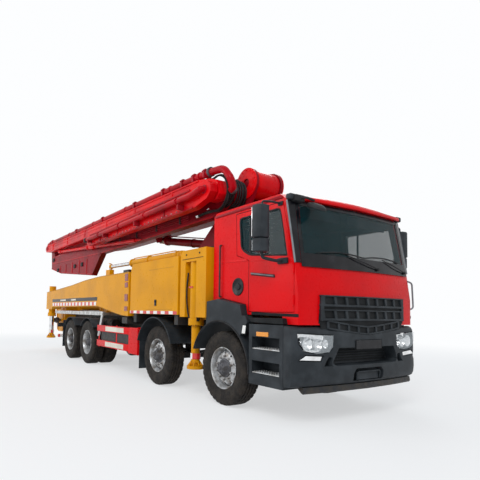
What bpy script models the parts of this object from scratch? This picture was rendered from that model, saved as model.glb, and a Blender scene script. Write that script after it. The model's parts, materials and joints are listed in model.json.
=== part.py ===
"""Concrete pump truck: an 8x4 cab-over truck with a five-section placing boom.

Metres, +Z up. The truck faces -Y and its right side is -X. Everything is modelled
from the front axle at y = 0 and from the ground at z = 0; one empty then carries it
to the middle of the whole length.
"""

import math

import bmesh
import bpy
from mathutils import Matrix, Vector

# ---------------------------------------------------------------- driving sizes
GAP = 0.0003  # between pieces that touch

FRONT_Y = -1.590  # foremost point of the bumper, from the front axle
TAIL_Y = 11.720  # rearmost point of the boom
STEER_AXLES = (0.0, 1.993)
DRIVE_AXLES = (5.608, 6.958)

# wheels
TYRE_R = 0.535
WHEEL_SIDES = 20
WHEEL_Z = TYRE_R * math.cos(math.pi / WHEEL_SIDES)  # a facet lies on the ground
TYRE_WIDTH = 0.31
RIM_R = 0.2985
HUB_BACK = -1.000  # inner face of a steered wheel's disc
FRONT_TRACK_X = 1.02
TWIN_INNER_X = 0.725
TWIN_OUTER_X = 1.075
KINGPIN_X = 0.84
KINGPIN_R = 0.035
BOSS_R = 0.066  # the axle beam's end round the kingpin
BOSS_HALF = 0.079
ARCH_R = 0.66  # inside of the mudguards, clear of the steered wheels
ARCH_WALL = 0.03

# chassis
RAIL_IN = 0.38
RAIL_OUT = 0.46
RAIL_LOW = 0.78
RAIL_TOP = 1.05
RAIL_FRONT = -1.30
RAIL_REAR = 8.60
DECK_TOP = 1.20
DECK_REAR = 8.90
HOPPER_TOP = 1.42
HOPPER_LOW = 0.62
HOPPER_REAR = 9.95
HOPPER_HALF = 0.78
HOPPER_WALL = 0.045

# cab
CAB_HALF = 1.15
CAB_WALL = 0.06
CAB_BACK = 0.26
CAB_FLOOR = 1.30
CAB_ROOF = 2.80
CAB_FRONT = -1.47
CAB_BOW = 0.08  # how far the front swells forward at the middle
SHUT_LINE = 0.008  # round the doors
GLASS = 0.008

# body behind the cab
BODY_HALF = 1.25
BODY_LOW = 1.27
SIDE_BOX_IN = 0.66
SIDE_BOX_FRONT = 1.14
SIDE_BOX_REAR = 3.00
SIDE_BOX_TOP = 2.25

# front outriggers
BEAM_LOW = 1.36
BEAM_HIGH = 1.70
BEAM_WIDTH = 0.28
BEAM_CLEAR = 0.006  # above and beside a front beam; it rests on the tunnel's floor
BEAM_Y = {"right": 0.52, "left": 0.85}
BOX_FRONT = 0.34
BOX_REAR = 1.03
BOX_HALF = 0.93
BOX_LOW = 1.20
BOX_HIGH = 1.80
POST_FRONT = 0.32
POST_REAR = 1.06
POST_IN = 0.945
POST_TOP = 2.31
FRONT_JACK_Y = 0.75
JACK_X = 1.13
JACK_TUBE_R = 0.105
JACK_LEG_R = 0.07
JACK_CLEAR = 0.0006
FOOT_R = 0.135
FOOT_LOW = 0.43
TUBE_LOW = 1.12

# rear outriggers
ARM_IN = 0.97
REAR_PIVOT = (1.11, 3.30)
REAR_PIVOT_R = 0.05
ARM_REAR_Y = 9.43
ARM_TOP = 2.11
REAR_JACK_Y = 9.20

# swing cylinders, at -X
SWING_FOOT = (-0.85, 1.65, 2.35)
SWING_EYE = (-1.02, 4.70, 2.35)
SWING_BARREL_R = 0.075
SWING_ROD_R = 0.04

# boom: (y, z) of the hinges, and the lane (low x, high x) that each arm keeps to
SLEW_Y = 1.90
SLEW_RING_R = 0.52
PEDESTAL_TOP = 2.12
ROOT = (0.68, 3.55)
TAIL_1 = (11.30, 3.52)
HEAD_2 = (0.90, 3.36)
TAIL_3 = (11.50, 3.58)
HEAD_4 = (0.86, 3.36)
TIP_5 = (6.50, 3.20)
LANE = {
    "turret": (-0.175, 0.415),
    "arm_1": (-0.115, 0.355),
    "arm_2": (-0.390, -0.190),
    "arm_3": (-0.570, -0.410),
    "arm_4": (-0.780, -0.590),
    "arm_5": (-0.945, -0.800),
}
CHEEK = 0.045
HUB_R = 0.225
PIN_R = 0.05
PIN_CLEAR = 0.0009  # round a pin of PIN_SIDES facets, which turns inside a bore of as many
PIN_SIDES = 20
LIFT_X = 0.12
LIFT_FOOT = (1.60, 2.60)
LIFT_EYE = (4.20, 3.03)
LIFT_BARREL_R = 0.085
LIFT_ROD_R = 0.055
LIFT_PIN_R = 0.035


# ---------------------------------------------------------------- modelling tools
def start_clean():
    for obj in list(bpy.data.objects):
        bpy.data.objects.remove(obj, do_unlink=True)
    collection = bpy.data.collections.new("concrete_pump_truck")
    bpy.context.scene.collection.children.link(collection)
    return collection


PARTS = start_clean()
TRUCK = bpy.data.objects.new("truck_origin", None)
TRUCK.location = (0, -(FRONT_Y + TAIL_Y) / 2, 0)
PARTS.objects.link(TRUCK)


def material(name, color, roughness, metallic=0.0, alpha=1.0):
    made = bpy.data.materials.new(name)
    made.use_nodes = True
    shader = made.node_tree.nodes["Principled BSDF"]
    shader.inputs["Base Color"].default_value = (*color, 1)
    shader.inputs["Roughness"].default_value = roughness
    shader.inputs["Metallic"].default_value = metallic
    shader.inputs["Alpha"].default_value = alpha
    return made


PAINTS = {
    "red_paint": ((0.62, 0.004, 0.010), 0.28, 0.0, 1.0),
    "boom_red": ((0.50, 0.004, 0.012), 0.35, 0.0, 1.0),
    "yellow_paint": ((0.80, 0.40, 0.012), 0.32, 0.0, 1.0),
    "dark_plastic": ((0.030, 0.036, 0.042), 0.55, 0.0, 1.0),
    "frame_black": ((0.020, 0.021, 0.023), 0.50, 0.0, 1.0),
    "tyre_rubber": ((0.022, 0.020, 0.018), 0.85, 0.0, 1.0),
    "chrome_rod": ((0.75, 0.76, 0.78), 0.12, 1.0, 1.0),
    "iron": ((0.10, 0.10, 0.11), 0.60, 0.6, 1.0),
    "glass": ((0.05, 0.09, 0.11), 0.05, 0.0, 0.35),
    "seat_fabric": ((0.035, 0.037, 0.042), 0.90, 0.0, 1.0),
}


def link(mesh):
    obj = bpy.data.objects.new(mesh.name, mesh)
    PARTS.objects.link(obj)
    return obj


def from_bmesh(shape):
    bmesh.ops.recalc_face_normals(shape, faces=shape.faces)
    mesh = bpy.data.meshes.new("shape")
    shape.to_mesh(mesh)
    shape.free()
    return link(mesh)


def box(low, high):
    """A box between two corners."""
    low, high = Vector(low), Vector(high)
    shape = bmesh.new()
    bmesh.ops.create_cube(shape, size=1.0)
    bmesh.ops.scale(shape, vec=high - low, verts=shape.verts)
    bmesh.ops.translate(shape, vec=(low + high) / 2, verts=shape.verts)
    return from_bmesh(shape)


def rod(start, end, radius, sides=12, end_radius=None):
    """A round bar from one point to another."""
    start, end = Vector(start), Vector(end)
    along = end - start
    shape = bmesh.new()
    bmesh.ops.create_cone(
        shape,
        cap_ends=True,
        segments=sides,
        radius1=radius,
        radius2=radius if end_radius is None else end_radius,
        depth=along.length,
    )
    turn = Vector((0, 0, 1)).rotation_difference(along).to_matrix()
    bmesh.ops.rotate(shape, matrix=turn, verts=shape.verts)
    bmesh.ops.translate(shape, vec=(start + end) / 2, verts=shape.verts)
    return from_bmesh(shape)


def cross_pin(x0, x1, centre, radius, sides=12):
    """A round bar along X at (y, z)."""
    return rod((x0, *centre), (x1, *centre), radius, sides)


SIDE_VIEW = Matrix(((0, 0, 1, 0), (1, 0, 0, 0), (0, 1, 0, 0), (0, 0, 0, 1)))
FRONT_VIEW = Matrix(((1, 0, 0, 0), (0, 0, -1, 0), (0, 1, 0, 0), (0, 0, 0, 1)))


def plate(view, outlines, low, high):
    """Flat closed outlines, the first the edge and the others holes, made thick from low to high."""
    curve = bpy.data.curves.new("outline", "CURVE")
    curve.dimensions = "2D"
    curve.fill_mode = "BOTH"
    curve.extrude = abs(high - low) / 2
    for outline in outlines:
        spline = curve.splines.new("POLY")
        spline.points.add(len(outline) - 1)
        for point, (u, v) in zip(spline.points, outline):
            point.co = (u, v, 0, 1)
        spline.use_cyclic_u = True
    guide = bpy.data.objects.new("outline", curve)
    PARTS.objects.link(guide)
    graph = bpy.context.evaluated_depsgraph_get()
    mesh = bpy.data.meshes.new_from_object(guide.evaluated_get(graph))
    bpy.data.objects.remove(guide)
    shape = bmesh.new()
    shape.from_mesh(mesh)
    bpy.data.meshes.remove(mesh)
    bmesh.ops.remove_doubles(shape, verts=shape.verts, dist=0.00005)
    middle = (low + high) / 2 if view is not FRONT_VIEW else -(low + high) / 2
    bmesh.ops.translate(shape, vec=(0, 0, middle), verts=shape.verts)
    bmesh.ops.transform(shape, matrix=view, verts=shape.verts)
    return from_bmesh(shape)


def side_plate(outline, x0, x1, holes=()):
    return plate(SIDE_VIEW, [outline, *holes], x0, x1)


def arc(centre, radius, start, end, steps):
    """Points of a circle from one angle to another, in degrees."""
    turn = [math.radians(start + (end - start) * i / steps) for i in range(steps + 1)]
    return [(centre[0] + radius * math.cos(a), centre[1] + radius * math.sin(a)) for a in turn]


def turned(profile, sides, centre, start_turn=0.5):
    """A profile of (x, radius) turned about the X axis through centre, a facet downwards."""
    mesh = bpy.data.meshes.new("profile")
    points = [(x, 0, r) for x, r in profile]
    is_ring = all(r > 0 for x, r in profile)
    last = len(points) if is_ring else len(points) - 1
    edges = [(i, (i + 1) % len(points)) for i in range(last)]
    mesh.from_pydata(points, edges, [])
    guide = link(mesh)
    screw = guide.modifiers.new("turn", "SCREW")
    screw.axis = "X"
    screw.steps = screw.render_steps = sides
    screw.use_merge_vertices = True
    screw.merge_threshold = 0.0001
    graph = bpy.context.evaluated_depsgraph_get()
    done = bpy.data.meshes.new_from_object(guide.evaluated_get(graph))
    bpy.data.objects.remove(guide)
    shape = bmesh.new()
    shape.from_mesh(done)
    bmesh.ops.remove_doubles(shape, verts=shape.verts, dist=0.00005)
    turn = Matrix.Rotation(start_turn * 2 * math.pi / sides, 3, "X")
    bmesh.ops.rotate(shape, matrix=turn, verts=shape.verts)
    bmesh.ops.translate(shape, vec=centre, verts=shape.verts)
    return from_bmesh(shape)


def boolean(target, tool, operation):
    modifier = target.modifiers.new("boolean", "BOOLEAN")
    modifier.operation = operation
    modifier.object = tool
    graph = bpy.context.evaluated_depsgraph_get()
    mesh = bpy.data.meshes.new_from_object(target.evaluated_get(graph))
    target.modifiers.clear()
    target.data = mesh
    bpy.data.objects.remove(tool)
    return target


def union(first, *others):
    for other in others:
        boolean(first, other, "UNION")
    return first


def cut(target, *tools):
    for tool in tools:
        boolean(target, tool, "DIFFERENCE")
    return target


def mirrored(obj, side):
    """Leaves the right-hand piece, modelled at -X, or turns it into the left-hand one."""
    if side == "left":
        shape = bmesh.new()
        shape.from_mesh(obj.data)
        bmesh.ops.scale(shape, vec=(-1, 1, 1), verts=shape.verts)
        bmesh.ops.reverse_faces(shape, faces=shape.faces)
        shape.to_mesh(obj.data)
        shape.free()
    return obj


def finish(obj, name, paint, pivot=(0, 0, 0), smooth=False):
    """Names a piece, paints it and puts its origin on its joint's axis."""
    obj.name = obj.data.name = name
    obj.data.materials.clear()
    obj.data.materials.append(material(name, *PAINTS[paint]))
    obj.data.transform(Matrix.Translation(-Vector(pivot)))
    obj.location = pivot
    obj.parent = TRUCK
    if smooth:
        obj.data.shade_smooth()
        obj.data.set_sharp_from_angle(angle=math.radians(35))
    return obj


SIDES = {"right": -1, "left": 1}


# ---------------------------------------------------------------- wheels and axles
def single_profile():
    """A tyre on its disc wheel and hub, modelled at -X: (x, radius) from the outside in."""
    half = TYRE_WIDTH / 2
    middle = -FRONT_TRACK_X
    return [
        (middle - half + 0.008, 0),
        (middle - half + 0.008, 0.075),
        (middle - half + 0.045, 0.100),
        (middle - half + 0.050, 0.175),
        (middle - half + 0.090, 0.240),
        (middle - half + 0.090, 0.268),
        (middle - half + 0.020, RIM_R),
        (middle - half, 0.370),
        (middle - half, 0.455),
        (middle - half + 0.035, TYRE_R),
        (middle + half - 0.035, TYRE_R),
        (middle + half, 0.455),
        (middle + half, 0.370),
        (middle + half - 0.020, RIM_R),
        (middle + half - 0.030, 0.262),
        (HUB_BACK, 0.250),
        (HUB_BACK, 0),
    ]


def twin_profile():
    """Two tyres on one hub, modelled at -X: (x, radius) from the outside in."""
    half = TYRE_WIDTH / 2
    outer, inner = -TWIN_OUTER_X, -TWIN_INNER_X
    return [
        (outer - half + 0.070, 0),
        (outer - half + 0.070, 0.105),
        (outer - half + 0.170, 0.125),
        (outer - half + 0.170, 0.215),
        (outer - half + 0.040, 0.280),
        (outer - half + 0.012, RIM_R),
        (outer - half, 0.370),
        (outer - half, 0.455),
        (outer - half + 0.035, TYRE_R),
        (outer + half - 0.035, TYRE_R),
        (outer + half, 0.455),
        (outer + half, 0.340),
        (inner - half, 0.340),
        (inner - half, 0.455),
        (inner - half + 0.035, TYRE_R),
        (inner + half - 0.035, TYRE_R),
        (inner + half, 0.455),
        (inner + half, 0.340),
        (inner + half - 0.030, 0.262),
        (inner - 0.05, 0.250),
        (inner - 0.05, 0),
    ]


def make_steered_wheels():
    for number, y in enumerate(STEER_AXLES, 1):
        for side, sign in SIDES.items():
            wheel = mirrored(turned(single_profile(), WHEEL_SIDES, (0, y, WHEEL_Z)), side)
            finish(wheel, f"wheel_{number}_{side}", "tyre_rubber",
                   (sign * FRONT_TRACK_X, y, WHEEL_Z), smooth=True)


def make_twin_wheels():
    for number, y in enumerate(DRIVE_AXLES, 3):
        for side, sign in SIDES.items():
            wheel = mirrored(turned(twin_profile(), WHEEL_SIDES, (0, y, WHEEL_Z)), side)
            finish(wheel, f"twin_wheel_{number}_{side}", "tyre_rubber",
                   (sign * TWIN_OUTER_X, y, WHEEL_Z), smooth=True)


def make_knuckles():
    """Each steered wheel's knuckle: a forked block on the kingpin, the stub for the hub, a steering arm."""
    for number, y in enumerate(STEER_AXLES, 1):
        for side, sign in SIDES.items():
            block = box((-KINGPIN_X - 0.115, y - 0.075, WHEEL_Z - 0.15),
                        (-KINGPIN_X + 0.060, y + 0.075, WHEEL_Z + 0.15))
            slot = box((-KINGPIN_X - BOSS_R - 0.008, y - 0.20, WHEEL_Z - BOSS_HALF - GAP),
                       (-KINGPIN_X + 0.20, y + 0.20, WHEEL_Z + BOSS_HALF + GAP))
            pin = rod((-KINGPIN_X, y, WHEEL_Z - 0.12), (-KINGPIN_X, y, WHEEL_Z + 0.12),
                      KINGPIN_R, PIN_SIDES)
            stub = cross_pin(HUB_BACK + GAP, -KINGPIN_X - 0.100, (y, WHEEL_Z), 0.055)
            arm = box((-KINGPIN_X - 0.03, y - 0.24, WHEEL_Z - 0.145),
                      (-KINGPIN_X + 0.03, y - 0.05, WHEEL_Z - 0.110))
            knuckle = union(cut(block, slot), pin, arm, stub)
            finish(mirrored(knuckle, side), f"knuckle_{number}_{side}", "iron",
                   (sign * KINGPIN_X, y, WHEEL_Z))


def spring_seat(sign, y, low):
    """The block between an axle and a rail."""
    middle = sign * (RAIL_IN + RAIL_OUT) / 2
    return box((middle - 0.036, y - 0.16, low), (middle + 0.036, y + 0.16, RAIL_LOW - GAP))


def make_steer_axles():
    """A dropped beam with a kingpin boss at each end and a spring seat under each rail."""
    for number, y in enumerate(STEER_AXLES, 1):
        beam = box((-KINGPIN_X + 0.02, y - 0.05, WHEEL_Z - 0.07),
                   (KINGPIN_X - 0.02, y + 0.05, WHEEL_Z + 0.05))
        for sign in SIDES.values():
            x = sign * KINGPIN_X
            union(beam, rod((x, y, WHEEL_Z - BOSS_HALF), (x, y, WHEEL_Z + BOSS_HALF), BOSS_R, 16))
            union(beam, spring_seat(sign, y, WHEEL_Z + 0.02))
        for sign in SIDES.values():
            x = sign * KINGPIN_X
            cut(beam, rod((x, y, 0), (x, y, 1), KINGPIN_R + PIN_CLEAR, PIN_SIDES))
        finish(beam, f"axle_{number}", "iron")


def make_drive_axles():
    """A banjo housing with its tubes, brake drums and spring seats."""
    face = TWIN_INNER_X + 0.05 - GAP
    for number, y in enumerate(DRIVE_AXLES, 3):
        housing = cross_pin(-face, face, (y, WHEEL_Z), 0.085, 12)
        union(housing, rod((0, y - 0.20, WHEEL_Z), (0, y + 0.20, WHEEL_Z), 0.20, 14))
        for sign in SIDES.values():
            union(housing, spring_seat(sign, y, WHEEL_Z - 0.02))
            union(housing, cross_pin(sign * 0.57, sign * (face - 0.02), (y, WHEEL_Z), 0.19, 16))
        finish(housing, f"axle_{number}", "iron")


# ---------------------------------------------------------------- chassis
CROSSMEMBERS = (-1.22, 0.70, 3.00, 4.60, 6.28, 7.90, 8.52)
CAB_MOUNTS_Y = (-1.10, 0.12)


def make_chassis():
    """Two rails with crossmembers, the cab's mounts and the tail lamps' bar."""
    frame = box((-RAIL_OUT, RAIL_FRONT, RAIL_LOW), (-RAIL_IN, RAIL_REAR, RAIL_TOP))
    pieces = [box((RAIL_IN, RAIL_FRONT, RAIL_LOW), (RAIL_OUT, RAIL_REAR, RAIL_TOP))]
    for y in CROSSMEMBERS:
        pieces.append(box((-RAIL_IN - 0.02, y - 0.04, RAIL_LOW + 0.04),
                          (RAIL_IN + 0.02, y + 0.04, RAIL_TOP - 0.04)))
    for y in CAB_MOUNTS_Y:
        for sign in SIDES.values():
            middle = sign * (RAIL_IN + RAIL_OUT) / 2
            pieces.append(box((middle - 0.035, y - 0.06, RAIL_TOP - 0.05),
                              (middle + 0.035, y + 0.06, CAB_FLOOR - GAP)))
    pieces.append(box((-1.10, RAIL_REAR - 0.04, 0.80), (1.10, RAIL_REAR + 0.04, 0.92)))
    finish(union(frame, *pieces), "chassis_frame", "frame_black")


def make_engine():
    block = box((-RAIL_IN + GAP, -1.14, 0.66), (RAIL_IN - GAP, 0.30, 1.18))
    gearbox = rod((0, 0.28, 0.90), (0, 0.66 - GAP, 0.90), 0.19, 14)
    finish(union(block, gearbox), "engine_block", "iron")


def pivot_bracket():
    """The fork, at -X, that holds a rear outrigger's pivot pin."""
    px, py = REAR_PIVOT
    low = box((-px - 0.12, py - 0.13, 1.06), (-RAIL_OUT + 0.02, py + 0.13, 1.19))
    top = box((-px - 0.12, py - 0.13, ARM_TOP + 0.008), (-0.74, py + 0.13, ARM_TOP + 0.06))
    wall = box((-0.80, py - 0.13, 1.08), (-0.74, py + 0.13, ARM_TOP + 0.04))
    pin = rod((-px, py, 1.15), (-px, py, ARM_TOP + 0.04), REAR_PIVOT_R, PIN_SIDES)
    return low, wall, top, pin


def make_deck():
    """The pump's own frame on the rails: two beams, bearers for the side boxes, the turret's pedestal."""
    deck = box((-RAIL_OUT, SIDE_BOX_FRONT, RAIL_TOP + GAP), (-RAIL_IN, DECK_REAR, DECK_TOP))
    pieces = [box((RAIL_IN, SIDE_BOX_FRONT, RAIL_TOP + GAP), (RAIL_OUT, DECK_REAR, DECK_TOP))]
    pieces.append(box((-0.60, SIDE_BOX_FRONT + 0.05, DECK_TOP - 0.02), (0.60, DECK_REAR, DECK_TOP + 0.02)))
    for y in (1.20, 2.80):
        pieces.append(box((-1.20, y, RAIL_TOP + 0.05), (1.20, y + 0.12, BODY_LOW - GAP)))
    pieces.append(box((-0.56, SLEW_Y - 0.58, DECK_TOP), (0.56, SLEW_Y + 0.58, PEDESTAL_TOP - 0.06)))
    pieces.append(rod((0, SLEW_Y, PEDESTAL_TOP - 0.08), (0, SLEW_Y, PEDESTAL_TOP), SLEW_RING_R, 28))
    for side in SIDES:
        pieces += [mirrored(piece, side) for piece in pivot_bracket()]
    finish(union(deck, *pieces), "deck", "frame_black")


def make_side_boxes():
    """The closed yellow lockers beside the turret."""
    outline = [
        (SIDE_BOX_FRONT, BODY_LOW), (SIDE_BOX_REAR, BODY_LOW), (SIDE_BOX_REAR, SIDE_BOX_TOP - 0.12),
        (SIDE_BOX_REAR - 0.06, SIDE_BOX_TOP), (SIDE_BOX_FRONT, SIDE_BOX_TOP),
    ]
    for side in SIDES:
        locker = side_plate(outline, -BODY_HALF, -SIDE_BOX_IN)
        finish(mirrored(locker, side), f"side_box_{side}", "yellow_paint")


# ---------------------------------------------------------------- outriggers
def make_outrigger_box():
    """The cross box behind the cab, with a tunnel for each front beam."""
    case = box((-BOX_HALF, BOX_FRONT, BOX_LOW), (BOX_HALF, BOX_REAR, BOX_HIGH))
    for sign in SIDES.values():
        middle = sign * (RAIL_IN + RAIL_OUT) / 2
        union(case, box((middle - 0.04, BOX_FRONT + 0.05, RAIL_TOP + GAP),
                        (middle + 0.04, BOX_REAR, BOX_LOW + 0.05)))
    for y in BEAM_Y.values():
        half = BEAM_WIDTH / 2 + BEAM_CLEAR
        cut(case, box((-2, y - half, BEAM_LOW - GAP), (2, y + half, BEAM_HIGH + BEAM_CLEAR)))
    finish(case, "outrigger_box", "frame_black")


def jack_leg(y):
    """A jack's inner leg with its ball and foot, hanging in its tube at -X."""
    leg = rod((-JACK_X, y, FOOT_LOW + 0.10), (-JACK_X, y, 2.02), JACK_LEG_R, 14)
    neck = rod((-JACK_X, y, FOOT_LOW + 0.03), (-JACK_X, y, FOOT_LOW + 0.12), 0.045, 14)
    foot = rod((-JACK_X, y, FOOT_LOW), (-JACK_X, y, FOOT_LOW + 0.05), FOOT_R, 18)
    return union(leg, neck, foot)


def jack_tube(y, top):
    """A jack's outer tube with the collar at its mouth, before it is bored."""
    tube = rod((-JACK_X, y, TUBE_LOW + 0.06), (-JACK_X, y, top), JACK_TUBE_R, 16)
    return union(tube, rod((-JACK_X, y, TUBE_LOW), (-JACK_X, y, TUBE_LOW + 0.10), 0.125, 16))


def jack_bore(y, top):
    return rod((-JACK_X, y, 0), (-JACK_X, y, top), JACK_LEG_R + JACK_CLEAR, 14)


def make_front_outriggers():
    """Each side: the post with its beam and jack tube in one piece, and the leg."""
    for side, sign in SIDES.items():
        beam_y = BEAM_Y[side]
        half = BEAM_WIDTH / 2
        arm = box((-POST_IN - 0.05, beam_y - half, BEAM_LOW), (0.88, beam_y + half, BEAM_HIGH))
        post = side_plate(
            [(POST_FRONT, 1.24), (POST_REAR, 1.24), (POST_REAR, POST_TOP - 0.06),
             (POST_REAR - 0.06, POST_TOP), (POST_FRONT, POST_TOP)],
            -BODY_HALF, -POST_IN)
        pocket = box((-2, FRONT_JACK_Y - 0.16, 1.10), (-JACK_X + 0.13, FRONT_JACK_Y + 0.16, 2.12))
        tube = jack_tube(FRONT_JACK_Y, 2.20)
        bridge = box((-1.08, FRONT_JACK_Y - 0.17, 1.55), (-0.98, FRONT_JACK_Y + 0.17, 1.90))
        outrigger = union(cut(post, pocket), arm, tube, bridge)
        cut(outrigger, jack_bore(FRONT_JACK_Y, 2.06))
        finish(mirrored(outrigger, side), f"front_outrigger_{side}", "yellow_paint",
               (sign * POST_IN, beam_y, (BEAM_LOW + BEAM_HIGH) / 2))
        finish(mirrored(jack_leg(FRONT_JACK_Y), side), f"front_jack_leg_{side}", "yellow_paint",
               (sign * JACK_X, FRONT_JACK_Y, FOOT_LOW))


# (y, z) round the long tapered arm, from its pivot end
REAR_ARM = [
    (3.09, 1.217), (3.44, 1.232), (3.76, 1.270), (4.345, 1.353), (4.79, 1.42),
    (8.72, 1.40), (8.80, 1.33), (ARM_REAR_Y, 1.33), (ARM_REAR_Y, 1.867), (8.18, 1.92), (6.83, 1.99),
    (5.77, 2.07), (4.72, ARM_TOP), (3.09, ARM_TOP),
]


def make_rear_outriggers():
    """Each side: the long swinging arm with its jack tube and the swing cylinder's lug, and the leg."""
    px, py = REAR_PIVOT
    for side, sign in SIDES.items():
        arm = side_plate(REAR_ARM, -BODY_HALF, -ARM_IN)
        lug = box((SWING_EYE[0] - 0.07, SWING_EYE[1] - 0.16, ARM_TOP - 0.05),
                  (SWING_EYE[0] + 0.04, SWING_EYE[1] + 0.07, SWING_EYE[2] - 0.075 - GAP))
        arm = union(arm, jack_tube(REAR_JACK_Y, 2.06), lug)
        cut(arm, jack_bore(REAR_JACK_Y, 2.03),
            rod((-px, py, 1), (-px, py, 3), REAR_PIVOT_R + PIN_CLEAR, PIN_SIDES))
        finish(mirrored(arm, side), f"rear_outrigger_{side}", "yellow_paint", (sign * px, py, 1.22))
        finish(mirrored(jack_leg(REAR_JACK_Y), side), f"rear_jack_leg_{side}", "yellow_paint",
               (sign * JACK_X, REAR_JACK_Y, FOOT_LOW))


# ---------------------------------------------------------------- boom
def lane_box(outline, name, inset=0.0):
    low, high = LANE[name]
    return side_plate(outline, low + inset, high - inset)


def make_turret():
    """The slewing column: a ring plate, two cheeks leaning forward to the root pin, and a back plate."""
    low, high = LANE["turret"]
    ry, rz = ROOT
    cheek = [(SLEW_Y - 0.46, PEDESTAL_TOP + 0.05), (SLEW_Y + 0.46, PEDESTAL_TOP + 0.05),
             (SLEW_Y + 0.40, 2.50), (1.72, 2.95), (1.18, 3.30), *arc(ROOT, 0.27, -20, 200, 12),
             (0.62, 3.10), (SLEW_Y - 0.58, 2.50)]
    near = side_plate(cheek, low, low + CHEEK)
    far = side_plate(cheek, high - CHEEK, high)
    ring = rod((0, SLEW_Y, PEDESTAL_TOP + GAP), (0, SLEW_Y, PEDESTAL_TOP + 0.09), SLEW_RING_R, 28)
    front = side_plate([(SLEW_Y - 0.44, PEDESTAL_TOP + 0.03), (SLEW_Y - 0.33, PEDESTAL_TOP + 0.03),
                        (0.82, 3.12), (0.70, 3.10)], low + 0.015, high - 0.015)
    pin = cross_pin(low + 0.01, high - 0.01, ROOT, PIN_R, PIN_SIDES)
    foot = cross_pin(low + 0.01, high - 0.01, LIFT_FOOT, LIFT_PIN_R, PIN_SIDES)
    finish(union(near, pin, foot, far, ring, front), "turret", "boom_red", (0, SLEW_Y, PEDESTAL_TOP))


def make_arm_1():
    """The main arm: a deep tapered box with its root hub, the lift cylinder's ears and the tail's axle."""
    low, high = LANE["arm_1"]
    inner = LANE["arm_2"][0]
    side = [(0.70, 3.36), (2.30, 3.14), (6.60, 3.10), (10.60, 3.34), (11.42, 3.36),
            (11.50, 3.46), (11.50, 3.62), (11.40, 3.72), (2.50, 3.78), (0.90, 3.74)]
    body = lane_box(side, "arm_1", 0.03)
    hub = cross_pin(low, high, ROOT, HUB_R, 24)
    tail = cross_pin(inner + 0.03, low + 0.10, TAIL_1, PIN_R, PIN_SIDES)
    eye_y, eye_z = LIFT_EYE
    ear_outline = [(eye_y - 0.20, 3.16), (eye_y - 0.09, eye_z - 0.05),
                   (eye_y + 0.09, eye_z - 0.05), (eye_y + 0.20, 3.16)]
    ears = [side_plate(ear_outline, LIFT_X + x - 0.015, LIFT_X + x + 0.015) for x in (-0.11, 0.11)]
    arm = union(body, hub, tail, *ears)
    cut(arm, cross_pin(-1, 1, ROOT, PIN_R + PIN_CLEAR, PIN_SIDES))
    finish(arm, "arm_1", "boom_red", (0, *ROOT))


# each folded arm: its root hinge and its far hinge, both (y, z)
FOLDED = {
    "arm_2": (TAIL_1, HEAD_2),
    "arm_3": (HEAD_2, TAIL_3),
    "arm_4": (TAIL_3, HEAD_4),
    "arm_5": (HEAD_4, TIP_5),
}
# (y, z) outlines in the stowed place, clockwise from the front
OUTLINES = {
    "arm_2": [(0.76, 3.22), (1.00, 3.16), (10.9, 3.28), (11.42, 3.38), (11.46, 3.60), (11.30, 3.68),
              (1.6, 3.66), (0.90, 3.52), (0.74, 3.42)],
    "arm_3": [(0.78, 3.20), (1.10, 2.98), (6.50, 2.90), (7.20, 2.33), (10.30, 2.58), (11.55, 2.82),
              (11.66, 3.60), (11.50, 3.72), (11.34, 3.62), (11.20, 3.26), (1.60, 3.34), (0.90, 3.50),
              (0.76, 3.42)],
    "arm_4": [(0.66, 3.28), (0.74, 3.20), (0.98, 3.20), (1.20, 3.38), (10.9, 3.40), (11.60, 3.44),
              (11.72, 3.54), (11.72, 3.66), (11.62, 3.78), (1.25, 3.80), (0.92, 3.72), (0.72, 3.56)],
    "arm_5": [(0.68, 3.30), (0.78, 3.20), (1.20, 3.10), (6.40, 3.06), (6.60, 3.10), (6.66, 3.20),
              (6.58, 3.32), (6.40, 3.36), (1.30, 3.46), (0.80, 3.50), (0.68, 3.42)],
}


def make_folded_arms():
    """Arms 2 to 5, side by side: each turns on its parent's axle and carries the next one's."""
    names = list(FOLDED)
    for name, following in zip(names, [*names[1:], None]):
        root, far = FOLDED[name]
        low, high = LANE[name]
        arm = lane_box(OUTLINES[name], name)
        cut(arm, cross_pin(-2, 2, root, PIN_R + PIN_CLEAR, PIN_SIDES))
        if following:
            union(arm, cross_pin(LANE[following][0] - 0.01, low + 0.05, far, PIN_R, PIN_SIDES))
        finish(arm, name, "boom_red", (0, *root))


def make_lift_cylinder():
    """The main arm's cylinder: the barrel turns on the turret, the rod slides out to the arm's ears."""
    foot, eye = Vector((LIFT_X, *LIFT_FOOT)), Vector((LIFT_X, *LIFT_EYE))
    along = (eye - foot).normalized()
    barrel = rod(foot + along * 0.06, foot + along * 2.42, LIFT_BARREL_R, 16)
    boss = cross_pin(LIFT_X - 0.07, LIFT_X + 0.07, LIFT_FOOT, 0.085, 16)
    union(barrel, boss)
    cut(barrel, rod(foot + along * 0.30, foot + along * 3.0, LIFT_ROD_R + JACK_CLEAR, 14),
        cross_pin(-1, 1, LIFT_FOOT, LIFT_PIN_R + PIN_CLEAR, PIN_SIDES))
    finish(barrel, "lift_barrel", "boom_red", tuple(foot))
    stem = rod(foot + along * 0.36, eye - along * 0.03, LIFT_ROD_R, 14)
    knuckle = cross_pin(LIFT_X - 0.07, LIFT_X + 0.07, LIFT_EYE, 0.075, 16)
    finish(union(stem, knuckle), "lift_rod", "chrome_rod", tuple(eye))


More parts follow.
